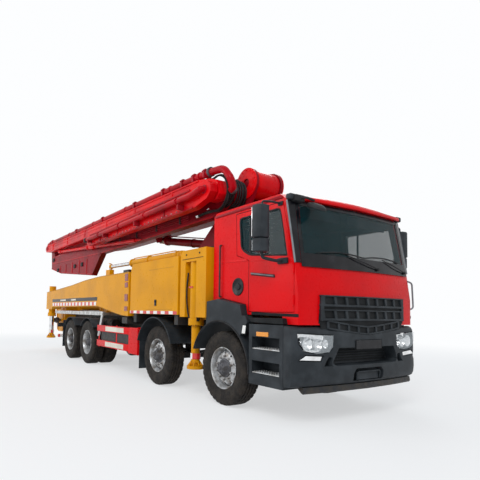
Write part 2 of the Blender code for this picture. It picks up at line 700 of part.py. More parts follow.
# ---------------------------------------------------------------- pump at the rear
def make_hopper():
    """The open hopper behind the deck: four walls, the front and rear ones sloping."""
    y0, y1, wall, low = DECK_REAR + GAP, HOPPER_REAR, HOPPER_WALL, HOPPER_LOW
    outer = side_plate([(y0 + 0.20, low), (y1 - 0.25, low), (y1, HOPPER_TOP), (y0, HOPPER_TOP)],
                       -HOPPER_HALF, HOPPER_HALF)
    inner = side_plate([(y0 + 0.205 + wall, low + 0.06), (y1 - 0.245 - wall, low + 0.06),
                        (y1 - wall, HOPPER_TOP + 0.08), (y0 + wall, HOPPER_TOP + 0.08)],
                       wall - HOPPER_HALF, HOPPER_HALF - wall)
    finish(cut(outer, inner), "hopper", "yellow_paint")


def make_hopper_grate():
    """The safety grate in the hopper's mouth, hinged at its front edge."""
    y0, y1, low = DECK_REAR + 0.076 + GAP, HOPPER_REAR - 0.082 - GAP, HOPPER_TOP - 0.04
    half = HOPPER_HALF - HOPPER_WALL - GAP
    bars = [box((-half, y0, low), (0.03 - half, y1, HOPPER_TOP)),
            box((half - 0.03, y0, low), (half, y1, HOPPER_TOP)),
            box((-half, y0, low), (half, y0 + 0.03, HOPPER_TOP)),
            box((-half, y1 - 0.03, low), (half, y1, HOPPER_TOP))]
    count = 9
    for i in range(1, count):
        x = -half + 2 * half * i / count
        bars.append(box((x - 0.008, y0 + 0.01, low + 0.005), (x + 0.008, y1 - 0.01, HOPPER_TOP - 0.005)))
    finish(union(*bars), "hopper_grate", "frame_black", (0, y0, HOPPER_TOP))


def make_pump():
    """The twin delivery cylinders and water box on the deck, between the arms."""
    water = box((-0.42, 6.30, DECK_TOP + 0.02 + GAP), (0.42, 6.90, 1.74))
    pieces = [rod((x, 6.85, 1.46), (x, 8.85, 1.46), 0.15, 16) for x in (-0.20, 0.20)]
    pieces += [rod((x, 4.50, 1.46), (x, 6.35, 1.46), 0.085, 14) for x in (-0.20, 0.20)]
    pieces.append(box((-0.40, 8.70, DECK_TOP + 0.02 + GAP), (0.40, DECK_REAR, 1.66)))
    finish(union(water, *pieces), "pump_cylinders", "yellow_paint")


# ---------------------------------------------------------------- cab
def cab_section(inset):
    """The cab's side outline (y, z), set in by a wall."""
    return [
        (CAB_FRONT + inset, CAB_FLOOR - 0.11 + inset),
        (-1.24 - inset, CAB_FLOOR - 0.11 + inset),
        (-1.20 - inset, CAB_FLOOR + inset),
        (CAB_BACK - inset, CAB_FLOOR + inset),
        (CAB_BACK - inset, CAB_ROOF - 0.05 - inset),
        (CAB_BACK - 0.06 - inset, CAB_ROOF - inset),
        (-1.16 + inset, CAB_ROOF + 0.01 - inset),
        (-1.27 + inset, 2.73 - inset),
        (-1.42 + inset, 1.90),
        (CAB_FRONT + inset, 1.54),
    ]


def bowed(outline, stations, front):
    """An outline (y, z) carried across the width; at each (x, shift) all ahead of front moves by shift."""
    shape = bmesh.new()
    rings = [[shape.verts.new((x, y + shift if y < front else y, z)) for y, z in outline]
             for x, shift in stations]
    for first, second in zip(rings, rings[1:]):
        for i in range(len(outline)):
            j = (i + 1) % len(outline)
            shape.faces.new((first[i], first[j], second[j], second[i]))
    shape.faces.new(rings[0])
    shape.faces.new(rings[-1])
    return from_bmesh(shape)


def both_sides(half_stations):
    """Stations from the middle outwards, repeated on the other side."""
    return [(-x, shift) for x, shift in reversed(half_stations)] + [s for s in half_stations if s[0] > 0]


def cab_loft(inset):
    half = CAB_HALF - inset
    stations = both_sides([(0.0, -CAB_BOW), (0.60, -0.055), (half - 0.09, -0.012), (half, 0.015)])
    return bowed(cab_section(inset), stations, -1.0)


DOOR = [(-1.385, 1.34), (-0.56, 1.34), (-0.56, 2.03), (-0.30, 2.12), (-0.28, 2.70), (-1.20, 2.70),
        (-1.365, 2.00), (-1.385, 1.96)]
HINGE = (-1.158, -1.3834)  # the doors' outside hinges, at -X
HINGE_R = 0.012
DOOR_WINDOW = [(-1.27, 2.03), (-0.56, 2.10), (-0.39, 2.20), (-0.35, 2.63), (-1.15, 2.63)]


def grown(outline, by):
    """A closed outline moved outwards by a distance, each corner along its two sides' normals."""
    done = []
    count = len(outline)
    for i in range(count):
        before = Vector(outline[i - 1])
        here = Vector(outline[i])
        after = Vector(outline[(i + 1) % count])
        a, b = (here - before).normalized(), (after - here).normalized()
        n1, n2 = Vector((a.y, -a.x)), Vector((b.y, -b.x))
        done.append(tuple(here + (n1 + n2) * by / (1 + n1.dot(n2))))
    return done


WINDSCREEN = [(-1.02, 1.93), (1.02, 1.93), (0.98, 2.68), (-0.98, 2.68)]


def make_cab():
    """The hollow cab with its floor, roof and back wall; the doors, windscreen and rear arch are cut."""
    shell = cut(cab_loft(0), cab_loft(CAB_WALL))
    for sign in SIDES.values():
        cut(shell, side_plate(grown(DOOR, SHUT_LINE), sign * 1.0, sign * 1.3))
        cut(shell, side_plate([(-0.62, 1.0), (-0.50, 1.44), (0.02, 1.53), (0.60, 1.46), (0.60, 1.0)],
                              sign * (CAB_HALF - 0.03), sign * 1.3))
    cut(shell, plate(FRONT_VIEW, [WINDSCREEN], -2.0, -1.0))
    finish(shell, "cab_shell", "red_paint")
    pane = cut(cab_loft(0.020), cab_loft(0.020 + GLASS))
    boolean(pane, plate(FRONT_VIEW, [grown(WINDSCREEN, -2 * GAP)], -2.0, -1.0), "INTERSECT")
    finish(pane, "windscreen", "glass")


def make_doors():
    for side, sign in SIDES.items():
        pivot = (sign * -HINGE[0], HINGE[1], 1.34)
        door = side_plate(DOOR, -CAB_HALF, -CAB_HALF + CAB_WALL, [DOOR_WINDOW])
        hinges = [rod((*HINGE, z), (*HINGE, z + 0.12), HINGE_R) for z in (1.42, 1.80)]
        finish(mirrored(union(door, *hinges), side), f"door_{side}", "red_paint", pivot)
        pad = box((-1.185, -1.30, 1.93), (-CAB_HALF - GAP, -1.16, 1.995))
        arm = rod((-1.165, -1.23, 1.965), (-1.42, -1.14, 2.06), 0.022)
        head = box((-1.55, -1.28, 2.03), (-1.33, -0.98, 2.66))
        finish(mirrored(union(head, arm, pad), side), f"mirror_{side}", "dark_plastic", pivot)


def make_cab_interior():
    """The mat, two seats, the dashboard and the steering wheel on its column."""
    floor = CAB_FLOOR + CAB_WALL + GAP
    mat = box((-1.00, -1.10, floor), (1.00, 0.15, floor + 0.03))
    backrest = [(-0.30, 1.70), (-0.12, 1.70), (0.02, 2.30), (0.00, 2.58), (-0.10, 2.58), (-0.10, 2.32)]
    pieces = [box((-1.02, -1.36, 1.50), (1.02, -1.02, 1.92)),
              box((-0.90, -1.24, floor), (0.90, -1.06, 1.60))]
    for x in (-0.58, 0.58):
        pieces.append(box((x - 0.20, -0.68, floor + 0.01), (x + 0.20, -0.22, 1.62)))
        pieces.append(box((x - 0.25, -0.74, 1.60), (x + 0.25, -0.18, 1.78)))
        pieces.append(side_plate(backrest, x - 0.24, x + 0.24))
    hub = Vector((0.58, -0.86, 1.96))
    tilt = Vector((0, 0.5, 0.86)).normalized()
    wheel = cut(rod(hub - tilt * 0.015, hub + tilt * 0.015, 0.23, 20),
                rod(hub - tilt * 0.03, hub + tilt * 0.03, 0.195, 20))
    spoke = box(hub - Vector((0.21, 0.02, 0.012)), hub + Vector((0.21, 0.02, 0.012)))
    column = rod(hub + tilt * 0.01, hub - tilt * 0.42, 0.035)
    finish(union(mat, *pieces, column, spoke, wheel), "cab_interior", "seat_fabric")


BUMPER = [(RAIL_FRONT - GAP, 0.50), (RAIL_FRONT - GAP, 1.17), (-1.44, 1.175), (-1.50, 1.12), (-1.51, 0.80),
          (-1.49, 0.48), (-1.38, 0.40)]


def make_bumper():
    stations = both_sides([(0.0, FRONT_Y + 1.51), (0.60, -0.055), (1.17, 0.01), (1.24, 0.05)])
    finish(bowed(BUMPER, stations, RAIL_FRONT - 0.01), "bumper", "dark_plastic")


def mudguard(y, start, end):
    """The arched band over a steered wheel at -X, with the tube that carries it from the rail."""
    centre = (y, WHEEL_Z)
    outline = arc(centre, ARCH_R + ARCH_WALL, start, end, 12) + arc(centre, ARCH_R, end, start, 12)
    band = side_plate(outline, -1.24, -0.63)
    return union(band, box((-0.66, y - 0.05, 1.00), (-RAIL_OUT - GAP, y + 0.05, 1.17)),
                 box((-0.66, y - 0.05, 1.10), (-0.635, y + 0.05, 1.205)))


def mud_flap(y, x0, x1):
    """The rubber flap behind a steered wheel, hung from its mudguard's rear end."""
    return box((x0, y + ARCH_R - 0.023, 0.22), (x1, y + ARCH_R - 0.013, WHEEL_Z + 0.27))


def make_front_fenders():
    """Each side: the mudguard of axle 1, the cheek under the cab, the flap and the entry steps."""
    for side in SIDES:
        cheek = side_plate([(-0.64, 1.20), (-0.60, 1.285), (-0.525, 1.285), (-0.483, 1.43), (0.02, 1.515),
                            (0.30, 1.48), *arc((0, WHEEL_Z), ARCH_R + 0.01, 62, 135, 6)], -1.24, -1.125)
        steps = box((-1.24, RAIL_FRONT + GAP, 0.42), (-0.86, -ARCH_R - 0.02, 1.18))
        risers = [box((-1.30, -1.24, z), (-1.02, -0.74, z + 0.16)) for z in (0.56, 0.86)]
        stay = box((-0.90, -1.20, 0.85), (-RAIL_OUT - GAP, -1.05, 1.00))
        fender = union(cut(steps, *risers), mudguard(STEER_AXLES[0], 20, 180), cheek, stay,
                       mud_flap(STEER_AXLES[0], -0.975, -0.64))
        finish(mirrored(fender, side), f"front_fender_{side}", "dark_plastic")


def make_side_guards():
    """Each side: the mudguard of axle 2 with its flap, the locker with its guard rails, the long beam."""
    for side in SIDES:
        y0, y1 = STEER_AXLES[1] + ARCH_R - 0.04, 4.88
        rails = [box((-1.22, y0 + 0.06, z), (-1.18, y1, z + 0.14)) for z in (0.50, 0.84)]
        front = box((-1.22, y0 + 0.06, 0.46), (-0.95, y0 + 0.09, 1.00))
        locker = box((-1.185, y0 + 0.30, 0.55), (-0.62, 4.70, 0.96))
        hang = box((-0.70, 3.40, 0.84), (-RAIL_OUT - GAP, 4.30, 0.94))
        beam = box((-1.21, 4.60, 1.20), (-1.15, 8.50, 1.30))
        stay = [box((-1.21, 4.78, 0.60), (-1.17, 4.84, 1.25)),
                box((-1.17, 4.62, 1.21), (-0.60 - GAP, 4.70, 1.28))]
        tie = box((-0.70, y0 - 0.03, 0.78), (-0.64, y0 + 0.34, 0.84))
        guard = union(mudguard(STEER_AXLES[1], 20, 158), mud_flap(STEER_AXLES[1], -1.20, -0.64),
                      tie, locker, hang, *rails, front, beam, *stay)
        finish(mirrored(guard, side), f"side_guard_{side}", "red_paint")


def make_swing_cylinders():
    """Each side: the cylinder over the locker that swings the rear outrigger."""
    for side, sign in SIDES.items():
        foot, eye = Vector(SWING_FOOT), Vector(SWING_EYE)
        along = (eye - foot).normalized()
        barrel = rod(foot + along * 0.04, foot + along * 1.95, SWING_BARREL_R, 14)
        socket = Vector((foot.x, foot.y, SIDE_BOX_TOP + GAP))
        union(barrel, rod(socket, foot + Vector((0, 0, 0.07)), 0.07, 16))
        cut(barrel, rod(foot + along * 0.30, foot + along * 3, SWING_ROD_R + JACK_CLEAR, 12))
        finish(mirrored(barrel, side), f"swing_barrel_{side}", "yellow_paint",
               (sign * -foot.x, foot.y, foot.z))
        stem = rod(foot + along * 0.80, eye, SWING_ROD_R, 12)
        union(stem, rod(eye - Vector((0, 0, 0.075)), eye + Vector((0, 0, 0.06)), 0.065, 16))
        finish(mirrored(stem, side), f"swing_rod_{side}", "chrome_rod", (sign * -eye.x, eye.y, eye.z))


def build():
    make_steered_wheels()
    make_twin_wheels()
    make_knuckles()
    make_steer_axles()
    make_drive_axles()
    make_chassis()
    make_engine()
    make_deck()
    make_side_boxes()
    make_outrigger_box()
    make_front_outriggers()
    make_rear_outriggers()
    make_turret()
    make_arm_1()
    make_folded_arms()
    make_lift_cylinder()
    make_hopper()
    make_hopper_grate()
    make_pump()
    make_cab()
    make_doors()
    make_cab_interior()
    make_bumper()
    make_front_fenders()
    make_side_guards()
    make_swing_cylinders()


build()
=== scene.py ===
import json
import math
from math import cos, pi, radians, sin

import bpy
from mathutils import Matrix, Vector


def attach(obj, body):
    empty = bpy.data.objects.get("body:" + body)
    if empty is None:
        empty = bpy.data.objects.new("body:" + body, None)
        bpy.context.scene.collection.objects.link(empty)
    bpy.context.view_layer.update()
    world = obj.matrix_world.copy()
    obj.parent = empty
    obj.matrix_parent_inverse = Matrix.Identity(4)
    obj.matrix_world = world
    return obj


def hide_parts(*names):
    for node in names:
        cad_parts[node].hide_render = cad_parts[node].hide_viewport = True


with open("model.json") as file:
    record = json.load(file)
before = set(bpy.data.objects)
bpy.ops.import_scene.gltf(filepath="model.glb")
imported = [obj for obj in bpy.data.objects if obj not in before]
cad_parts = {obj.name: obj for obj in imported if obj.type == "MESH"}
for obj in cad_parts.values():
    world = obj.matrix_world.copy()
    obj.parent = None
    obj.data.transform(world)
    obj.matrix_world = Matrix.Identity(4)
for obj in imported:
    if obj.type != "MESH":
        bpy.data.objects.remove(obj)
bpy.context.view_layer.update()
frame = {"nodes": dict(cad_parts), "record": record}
NODES = frame["nodes"]
SHIFT_Y = -5.065  # from the front axle's frame to the truck's frame


# ------------------------------------------------------------ camera, floor and light
def place_camera():
    """The camera, from its place, heading, pitch and roll, with the frame's small shift."""
    yaw, pitch, roll = radians(33.3165), radians(3.6552), radians(1.0135)
    ahead = Vector((sin(yaw) * cos(pitch), cos(yaw) * cos(pitch), sin(pitch)))
    level = Vector((cos(yaw), -sin(yaw), 0))
    over = level.cross(ahead)
    right = cos(roll) * level + sin(roll) * over
    up = -sin(roll) * level + cos(roll) * over
    bpy.ops.object.camera_add()
    camera = bpy.context.object
    camera.name = "camera"
    camera.matrix_world = Matrix.Translation((-4.9365, -5.0882 + SHIFT_Y, 1.3206)) @ Matrix(
        (right, up, -ahead)).transposed().to_4x4()
    camera.data.lens = 32.824
    camera.data.sensor_width = 36
    camera.data.shift_x = 0.0866
    camera.data.shift_y = 0.0919
    camera.data.clip_end = 400
    bpy.context.scene.camera = camera


def area_light(name, place, target, size, power):
    bpy.ops.object.light_add(type="AREA", location=place)
    lamp = bpy.context.object
    lamp.name = name
    lamp.data.size = size
    lamp.data.energy = power
    lamp.rotation_euler = (Vector(target) - Vector(place)).to_track_quat("-Z", "Y").to_euler()


def seen_as_white(nodes, links, shaded, output_socket, color):
    """Camera, glossy and transmission rays meet the plain pale colour; other rays meet what is shaded."""
    path = nodes.new("ShaderNodeLightPath")
    first = nodes.new("ShaderNodeMath")
    first.operation = "MAXIMUM"
    links.new(path.outputs["Is Camera Ray"], first.inputs[0])
    links.new(path.outputs["Is Glossy Ray"], first.inputs[1])
    second = nodes.new("ShaderNodeMath")
    second.operation = "MAXIMUM"
    links.new(first.outputs[0], second.inputs[0])
    links.new(path.outputs["Is Transmission Ray"], second.inputs[1])
    pale = nodes.new("ShaderNodeBackground")
    pale.inputs["Color"].default_value = color
    pale.inputs["Strength"].default_value = 1.0
    mix = nodes.new("ShaderNodeMixShader")
    links.new(second.outputs[0], mix.inputs["Fac"])
    links.new(shaded, mix.inputs[1])
    links.new(pale.outputs[0], mix.inputs[2])
    links.new(mix.outputs[0], output_socket)


def make_stage():
    world = bpy.data.worlds.new("studio")
    bpy.context.scene.world = world
    world.use_nodes = True
    nodes, links = world.node_tree.nodes, world.node_tree.links
    sky = nodes["Background"]
    sky.inputs["Color"].default_value = (0.86, 0.93, 1.0, 1)
    sky.inputs["Strength"].default_value = 0.62
    seen_as_white(nodes, links, sky.outputs[0], nodes["World Output"].inputs["Surface"],
                  (0.98, 0.99, 1.0, 1))
    bpy.ops.mesh.primitive_plane_add(size=160, location=(0, 0, -0.002))
    floor = bpy.context.object
    floor.name = "floor"
    pale = bpy.data.materials.new("pale_floor")
    pale.use_nodes = True
    nodes, links = pale.node_tree.nodes, pale.node_tree.links
    shader = nodes["Principled BSDF"]
    shader.inputs["Base Color"].default_value = (0.82, 0.82, 0.82, 1)
    shader.inputs["Roughness"].default_value = 0.95
    shader.inputs["Specular IOR Level"].default_value = 0.1
    place = nodes.new("ShaderNodeTexCoord")
    distance = nodes.new("ShaderNodeVectorMath")
    distance.operation = "LENGTH"
    links.new(place.outputs["Object"], distance.inputs[0])
    fade = nodes.new("ShaderNodeMapRange")
    fade.interpolation_type = "SMOOTHSTEP"
    fade.inputs["From Min"].default_value = 7.5
    fade.inputs["From Max"].default_value = 17.0
    fade.inputs["To Min"].default_value = 0.55
    links.new(distance.outputs["Value"], fade.inputs["Value"])
    path = nodes.new("ShaderNodeLightPath")
    seen = nodes.new("ShaderNodeMath")
    seen.operation = "MULTIPLY"
    links.new(fade.outputs["Result"], seen.inputs[0])
    rays = nodes.new("ShaderNodeMath")
    rays.operation = "MAXIMUM"
    links.new(path.outputs["Is Camera Ray"], rays.inputs[0])
    links.new(path.outputs["Is Glossy Ray"], rays.inputs[1])
    links.new(rays.outputs[0], seen.inputs[1])
    white = nodes.new("ShaderNodeEmission")
    white.inputs["Color"].default_value = (0.98, 0.99, 1.0, 1)
    white.inputs["Strength"].default_value = 1.0
    mix = nodes.new("ShaderNodeMixShader")
    links.new(seen.outputs[0], mix.inputs["Fac"])
    links.new(shader.outputs[0], mix.inputs[1])
    links.new(white.outputs[0], mix.inputs[2])
    links.new(mix.outputs[0], nodes["Material Output"].inputs["Surface"])
    floor.data.materials.append(pale)
    area_light("key", (-14, -16, 15), (0, -1, 1.5), 9, 2150)
    area_light("fill", (-16, 6, 8), (0, 1, 1.5), 10, 800)
    area_light("rim", (13, 6, 13), (0, 0, 1.5), 9, 800)
    bpy.context.scene.view_settings.view_transform = "Standard"


place_camera()
make_stage()


# ------------------------------------------------------------ finishes
def new_material(name, color, roughness, metallic=0.0, **sockets):
    made = bpy.data.materials.new(name)
    made.use_nodes = True
    shader = made.node_tree.nodes["Principled BSDF"]
    shader.inputs["Base Color"].default_value = (*color, 1)
    shader.inputs["Roughness"].default_value = roughness
    shader.inputs["Metallic"].default_value = metallic
    for socket, value in sockets.items():
        shader.inputs[socket.replace("_", " ")].default_value = value
    return made


def pattern(made, kind, scale, detail=4.0):
    """A noise, voronoi or wave texture on the piece's own object coordinates."""
    nodes, links = made.node_tree.nodes, made.node_tree.links
    place = nodes.new("ShaderNodeTexCoord")
    texture = nodes.new(kind)
    texture.inputs["Scale"].default_value = scale
    if "Detail" in texture.inputs:
        texture.inputs["Detail"].default_value = detail
    links.new(place.outputs["Object"], texture.inputs["Vector"])
    return texture


def ramp(made, source, low, high, low_at=0.3, high_at=0.7):
    nodes, links = made.node_tree.nodes, made.node_tree.links
    steps = nodes.new("ShaderNodeValToRGB")
    steps.color_ramp.elements[0].position = low_at
    steps.color_ramp.elements[1].position = high_at
    steps.color_ramp.elements[0].color = low if len(low) == 4 else (*low, 1)
    steps.color_ramp.elements[1].color = high if len(high) == 4 else (*high, 1)
    links.new(source, steps.inputs["Fac"])
    return steps.outputs["Color"]


def bump(made, source, strength, distance=0.001):
    nodes, links = made.node_tree.nodes, made.node_tree.links
    relief = nodes.new("ShaderNodeBump")
    relief.inputs["Strength"].default_value = strength
    relief.inputs["Distance"].default_value = distance
    links.new(source, relief.inputs["Height"])
    links.new(relief.outputs["Normal"], nodes["Principled BSDF"].inputs["Normal"])


def paint(name, color, roughness, dusty):
    """Enamel with a clear coat, faint road dust in patches and a slight orange peel."""
    made = new_material(name, color, roughness, Coat_Weight=0.04, Coat_Roughness=0.08,
                        Specular_IOR_Level=0.10)
    nodes, links = made.node_tree.nodes, made.node_tree.links
    shader = nodes["Principled BSDF"]
    patches = pattern(made, "ShaderNodeTexNoise", 1.7, 8)
    links.new(ramp(made, patches.outputs["Fac"], dusty, color, 0.34, 0.56), shader.inputs["Base Color"])
    fine = pattern(made, "ShaderNodeTexNoise", 23, 6)
    links.new(ramp(made, fine.outputs["Fac"], (roughness - 0.06,) * 3, (roughness + 0.14,) * 3),
              shader.inputs["Roughness"])
    peel = pattern(made, "ShaderNodeTexNoise", 260, 2)
    bump(made, peel.outputs["Fac"], 0.05, 0.0006)
    return made


def plastic(name, color, roughness):
    made = new_material(name, color, roughness, Specular_IOR_Level=0.22)
    links = made.node_tree.links
    shader = made.node_tree.nodes["Principled BSDF"]
    wear = pattern(made, "ShaderNodeTexNoise", 5.0, 8)
    pale = tuple(c * 1.7 + 0.012 for c in color)
    links.new(ramp(made, wear.outputs["Fac"], color, pale, 0.42, 0.78), shader.inputs["Base Color"])
    grain = pattern(made, "ShaderNodeTexNoise", 420, 3)
    bump(made, grain.outputs["Fac"], 0.25, 0.0006)
    return made


def metal(name, color, roughness, metallic, grime):
    made = new_material(name, color, roughness, metallic, Specular_IOR_Level=0.25)
    links = made.node_tree.links
    shader = made.node_tree.nodes["Principled BSDF"]
    dirt = pattern(made, "ShaderNodeTexNoise", 9.0, 9)
    links.new(ramp(made, dirt.outputs["Fac"], grime, color, 0.34, 0.60), shader.inputs["Base Color"])
    fine = pattern(made, "ShaderNodeTexNoise", 60, 4)
    links.new(ramp(made, fine.outputs["Fac"], (roughness * 0.7,) * 3, (min(1, roughness * 1.4),) * 3),
              shader.inputs["Roughness"])
    bump(made, fine.outputs["Fac"], 0.08, 0.0008)
    return made


RED = paint("red_enamel", (0.70, 0.0005, 0.003), 0.28, (0.60, 0.002, 0.005))
BOOM_RED = paint("boom_enamel", (0.44, 0.001, 0.008), 0.34, (0.28, 0.002, 0.008))
# Lit and shaded copies of the boom enamel, as painted light and painted shade. arm_4, arm_5, the drum and
# arm_3's long tube take the brighter copy. arm_1, arm_3, the turret, the slew ring and the lift cylinder take
# the darker copy.
BOOM_PAINTED_LIGHT = paint("bright_boom_enamel", (0.72, 0.001, 0.004), 0.30, (0.50, 0.002, 0.008))
BOOM_PAINTED_SHADE = paint("boom_enamel_painted_shade", (0.27, 0.002, 0.010), 0.38, (0.18, 0.003, 0.008))
YELLOW = paint("yellow_enamel", (0.70, 0.30, 0.002), 0.30, (0.60, 0.255, 0.006))
BLACK = metal("frame_paint", (0.022, 0.023, 0.026), 0.50, 0.0, (0.045, 0.038, 0.030))
PLASTIC = plastic("grained_plastic", (0.017, 0.021, 0.025), 0.55)
RUBBER = metal("tyre_rubber", (0.014, 0.012, 0.011), 0.85, 0.0, (0.032, 0.026, 0.021))
SILVER = metal("wheel_silver", (0.52, 0.53, 0.54), 0.38, 0.55, (0.20, 0.18, 0.16))
CHROME = metal("ground_chrome", (0.78, 0.79, 0.81), 0.10, 1.0, (0.60, 0.60, 0.60))
IRON = metal("oiled_iron", (0.11, 0.11, 0.12), 0.60, 0.5, (0.05, 0.042, 0.035))
GLASS = new_material("tinted_glass", (0.005, 0.034, 0.040), 0.04, Specular_IOR_Level=0.30, Alpha=0.36)
CLOTH = plastic("seat_cloth", (0.035, 0.038, 0.044), 0.90)
GLOSS_BLACK = plastic("gloss_black_trim", (0.004, 0.004, 0.006), 0.22)
LINING = plastic("cab_lining", (0.012, 0.016, 0.018), 0.9)
DEEP_BLACK = plastic("shadow_black", (0.006, 0.007, 0.008), 0.7)
GREY_TRIM = plastic("grey_trim", (0.16, 0.17, 0.18), 0.4)
TRIM_RUBBER = plastic("trim_rubber", (0.012, 0.012, 0.013), 0.65)
DEEP_RED = paint("deep_red_enamel", (0.34, 0.006, 0.016), 0.30, (0.26, 0.010, 0.015))
AMBER = new_material("amber_lens", (0.80, 0.28, 0.01), 0.15, Coat_Weight=0.6)
CLEAR = new_material("clear_lens", (0.85, 0.90, 0.92), 0.03, Alpha=0.18)
LAMP_SILVER = metal("lamp_silver", (0.86, 0.87, 0.88), 0.10, 1.0, (0.70, 0.70, 0.70))
NUT_STEEL = metal("nut_steel", (0.42, 0.42, 0.42), 0.35, 0.9, (0.16, 0.13, 0.11))
ALUMINIUM = metal("mill_aluminium", (0.62, 0.63, 0.64), 0.34, 0.75, (0.34, 0.33, 0.31))
# A darker copy of the yellow enamel, as painted shade in the locker grooves and along the outrigger arms'
# seams
YELLOW_SEAM_SHADE = paint("yellow_painted_seam_shade", (0.52, 0.24, 0.012), 0.34, (0.40, 0.19, 0.015))
PALE = paint("pale_enamel", (0.74, 0.70, 0.60), 0.30, (0.58, 0.54, 0.45))
DARK_RED_LENS = new_material("dark_red_lens", (0.22, 0.012, 0.012), 0.18, Coat_Weight=0.5)
TAIL_RED = new_material("red_lens", (0.62, 0.010, 0.012), 0.15, Coat_Weight=0.5)


def tape(name, length, first, second, way="Y"):
    """Reflective tape: two colours by turns along the truck, with a fine honeycomb relief."""
    made = new_material(name, first, 0.30, Coat_Weight=0.4)
    nodes, links = made.node_tree.nodes, made.node_tree.links
    place = nodes.new("ShaderNodeTexCoord")
    split = nodes.new("ShaderNodeSeparateXYZ")
    links.new(place.outputs["Object"], split.inputs[0])
    scale = nodes.new("ShaderNodeMath")
    scale.operation = "DIVIDE"
    scale.inputs[1].default_value = length
    links.new(split.outputs[way], scale.inputs[0])
    turn = nodes.new("ShaderNodeMath")
    turn.operation = "FRACT"
    links.new(scale.outputs[0], turn.inputs[0])
    links.new(ramp(made, turn.outputs[0], first, second, 0.499, 0.501),
              nodes["Principled BSDF"].inputs["Base Color"])
    cells = pattern(made, "ShaderNodeTexVoronoi", 220)
    bump(made, cells.outputs["Distance"], 0.15, 0.0005)
    return made


TAPE = tape("red_white_tape", 0.28, (0.62, 0.02, 0.02), (0.80, 0.79, 0.76))
TAPE_ACROSS = tape("red_white_bar", 0.40, (0.62, 0.02, 0.02), (0.76, 0.72, 0.68), "X")

CAD_FINISH = {
    "red_paint": RED, "boom_red": BOOM_RED, "yellow_paint": YELLOW, "frame_black": BLACK,
    "dark_plastic": PLASTIC, "tyre_rubber": RUBBER, "chrome_rod": CHROME, "iron": IRON,
    "glass": GLASS, "seat_fabric": CLOTH,
}
for part in frame["record"]["subparts"]:
    mesh = NODES[part["node"]].data
    mesh.materials.clear()
    mesh.materials.append(CAD_FINISH[part["material_slot"]])


# ------------------------------------------------------------ workshop: how pieces are made
def settle():
    if bpy.context.object and bpy.context.object.mode != "OBJECT":
        bpy.ops.object.mode_set(mode="OBJECT")
    bpy.ops.object.select_all(action="DESELECT")


def take(obj):
    settle()
    obj.select_set(True)
    bpy.context.view_layer.objects.active = obj
    return obj


def in_place(obj):
    take(obj)
    bpy.ops.object.transform_apply(location=True, rotation=True, scale=True)
    return obj


def modified(obj, kind, **settings):
    step = obj.modifiers.new("step", kind)
    for name, value in settings.items():
        setattr(step, name, value)
    take(obj)
    bpy.ops.object.modifier_apply(modifier=step.name)
    return obj


def eased(obj, width, segments=2, angle=35):
    """Edges sharper than the angle are rounded."""
    return modified(obj, "BEVEL", width=width, segments=segments, limit_method="ANGLE",
                    angle_limit=radians(angle), harden_normals=False)


def block(low, high, edge=0.0, segments=1):
    low, high = Vector(low), Vector(high)
    settle()
    bpy.ops.mesh.primitive_cube_add(size=1, location=(low + high) / 2)
    obj = bpy.context.object
    obj.scale = high - low
    in_place(obj)
    return eased(obj, edge, segments) if edge else obj


ACROSS = {"X": lambda a, b, c: (c, a, b), "Y": lambda a, b, c: (a, c, b), "Z": lambda a, b, c: (a, b, c)}


def slab(outline, low, high, across="X", edge=0.0, segments=1):
    """An outline drawn across an axis, extruded from low to high."""
    settle()
    bpy.ops.mesh.primitive_circle_add(vertices=len(outline), fill_type="NGON")
    obj = bpy.context.object
    place = ACROSS[across]
    for vertex, (a, b) in zip(obj.data.vertices, outline):
        vertex.co = place(a, b, low)
    bpy.ops.object.mode_set(mode="EDIT")
    bpy.ops.mesh.select_all(action="SELECT")
    bpy.ops.mesh.extrude_region_move(TRANSFORM_OT_translate={"value": place(0, 0, high - low)})
    bpy.ops.mesh.select_all(action="SELECT")
    bpy.ops.mesh.normals_make_consistent(inside=False)
    bpy.ops.object.mode_set(mode="OBJECT")
    return eased(obj, edge, segments) if edge else obj


def round_bar(start, end, radius, sides=16, end_radius=None, edge=0.0):
    start, end = Vector(start), Vector(end)
    settle()
    bpy.ops.mesh.primitive_cone_add(vertices=sides, radius1=radius,
                                    radius2=radius if end_radius is None else end_radius,
                                    depth=(end - start).length, location=(start + end) / 2)
    obj = bpy.context.object
    obj.rotation_euler = (end - start).to_track_quat("Z", "Y").to_euler()
    in_place(obj)
    return eased(obj, edge) if edge else obj


def turned(profile, centre, across="X", steps=48, angle=2 * pi):
    """A closed profile of (along, radius) points spun about an axis through the centre."""
    settle()
    bpy.ops.mesh.primitive_circle_add(vertices=len(profile))
    obj = bpy.context.object
    for vertex, (along, radius) in zip(obj.data.vertices, profile):
        vertex.co = (along, 0, radius)
    bpy.ops.object.mode_set(mode="EDIT")
    bpy.ops.mesh.select_all(action="SELECT")
    bpy.ops.mesh.spin(steps=steps, angle=angle, center=(0, 0, 0), axis=(1, 0, 0))
    bpy.ops.mesh.select_all(action="SELECT")
    bpy.ops.mesh.remove_doubles(threshold=0.0001)
    bpy.ops.mesh.normals_make_consistent(inside=False)
    bpy.ops.object.mode_set(mode="OBJECT")
    turn = {"X": Matrix.Identity(4), "Y": Matrix.Rotation(pi / 2, 4, "Z"),
            "Z": Matrix.Rotation(-pi / 2, 4, "Y")}
    obj.data.transform(Matrix.Translation(centre) @ turn[across])
    return obj


def pipe(points, radius, closed=False, soft=False, rings=4, steps=6):
    """A tube along points, its corners square unless soft."""
    settle()
    bpy.ops.curve.primitive_bezier_curve_add()
    obj = bpy.context.object
    spline = obj.data.splines[0]
    spline.bezier_points.add(len(points) - 2)
    for knot, place in zip(spline.bezier_points, points):
        knot.handle_left_type = knot.handle_right_type = "AUTO" if soft else "VECTOR"
        knot.co = place
    spline.use_cyclic_u = closed
    obj.data.resolution_u = steps if soft else 1
    obj.data.bevel_depth = radius
    obj.data.bevel_resolution = rings
    obj.data.use_fill_caps = True
    take(obj)
    bpy.ops.object.convert(target="MESH")
    return bpy.context.object


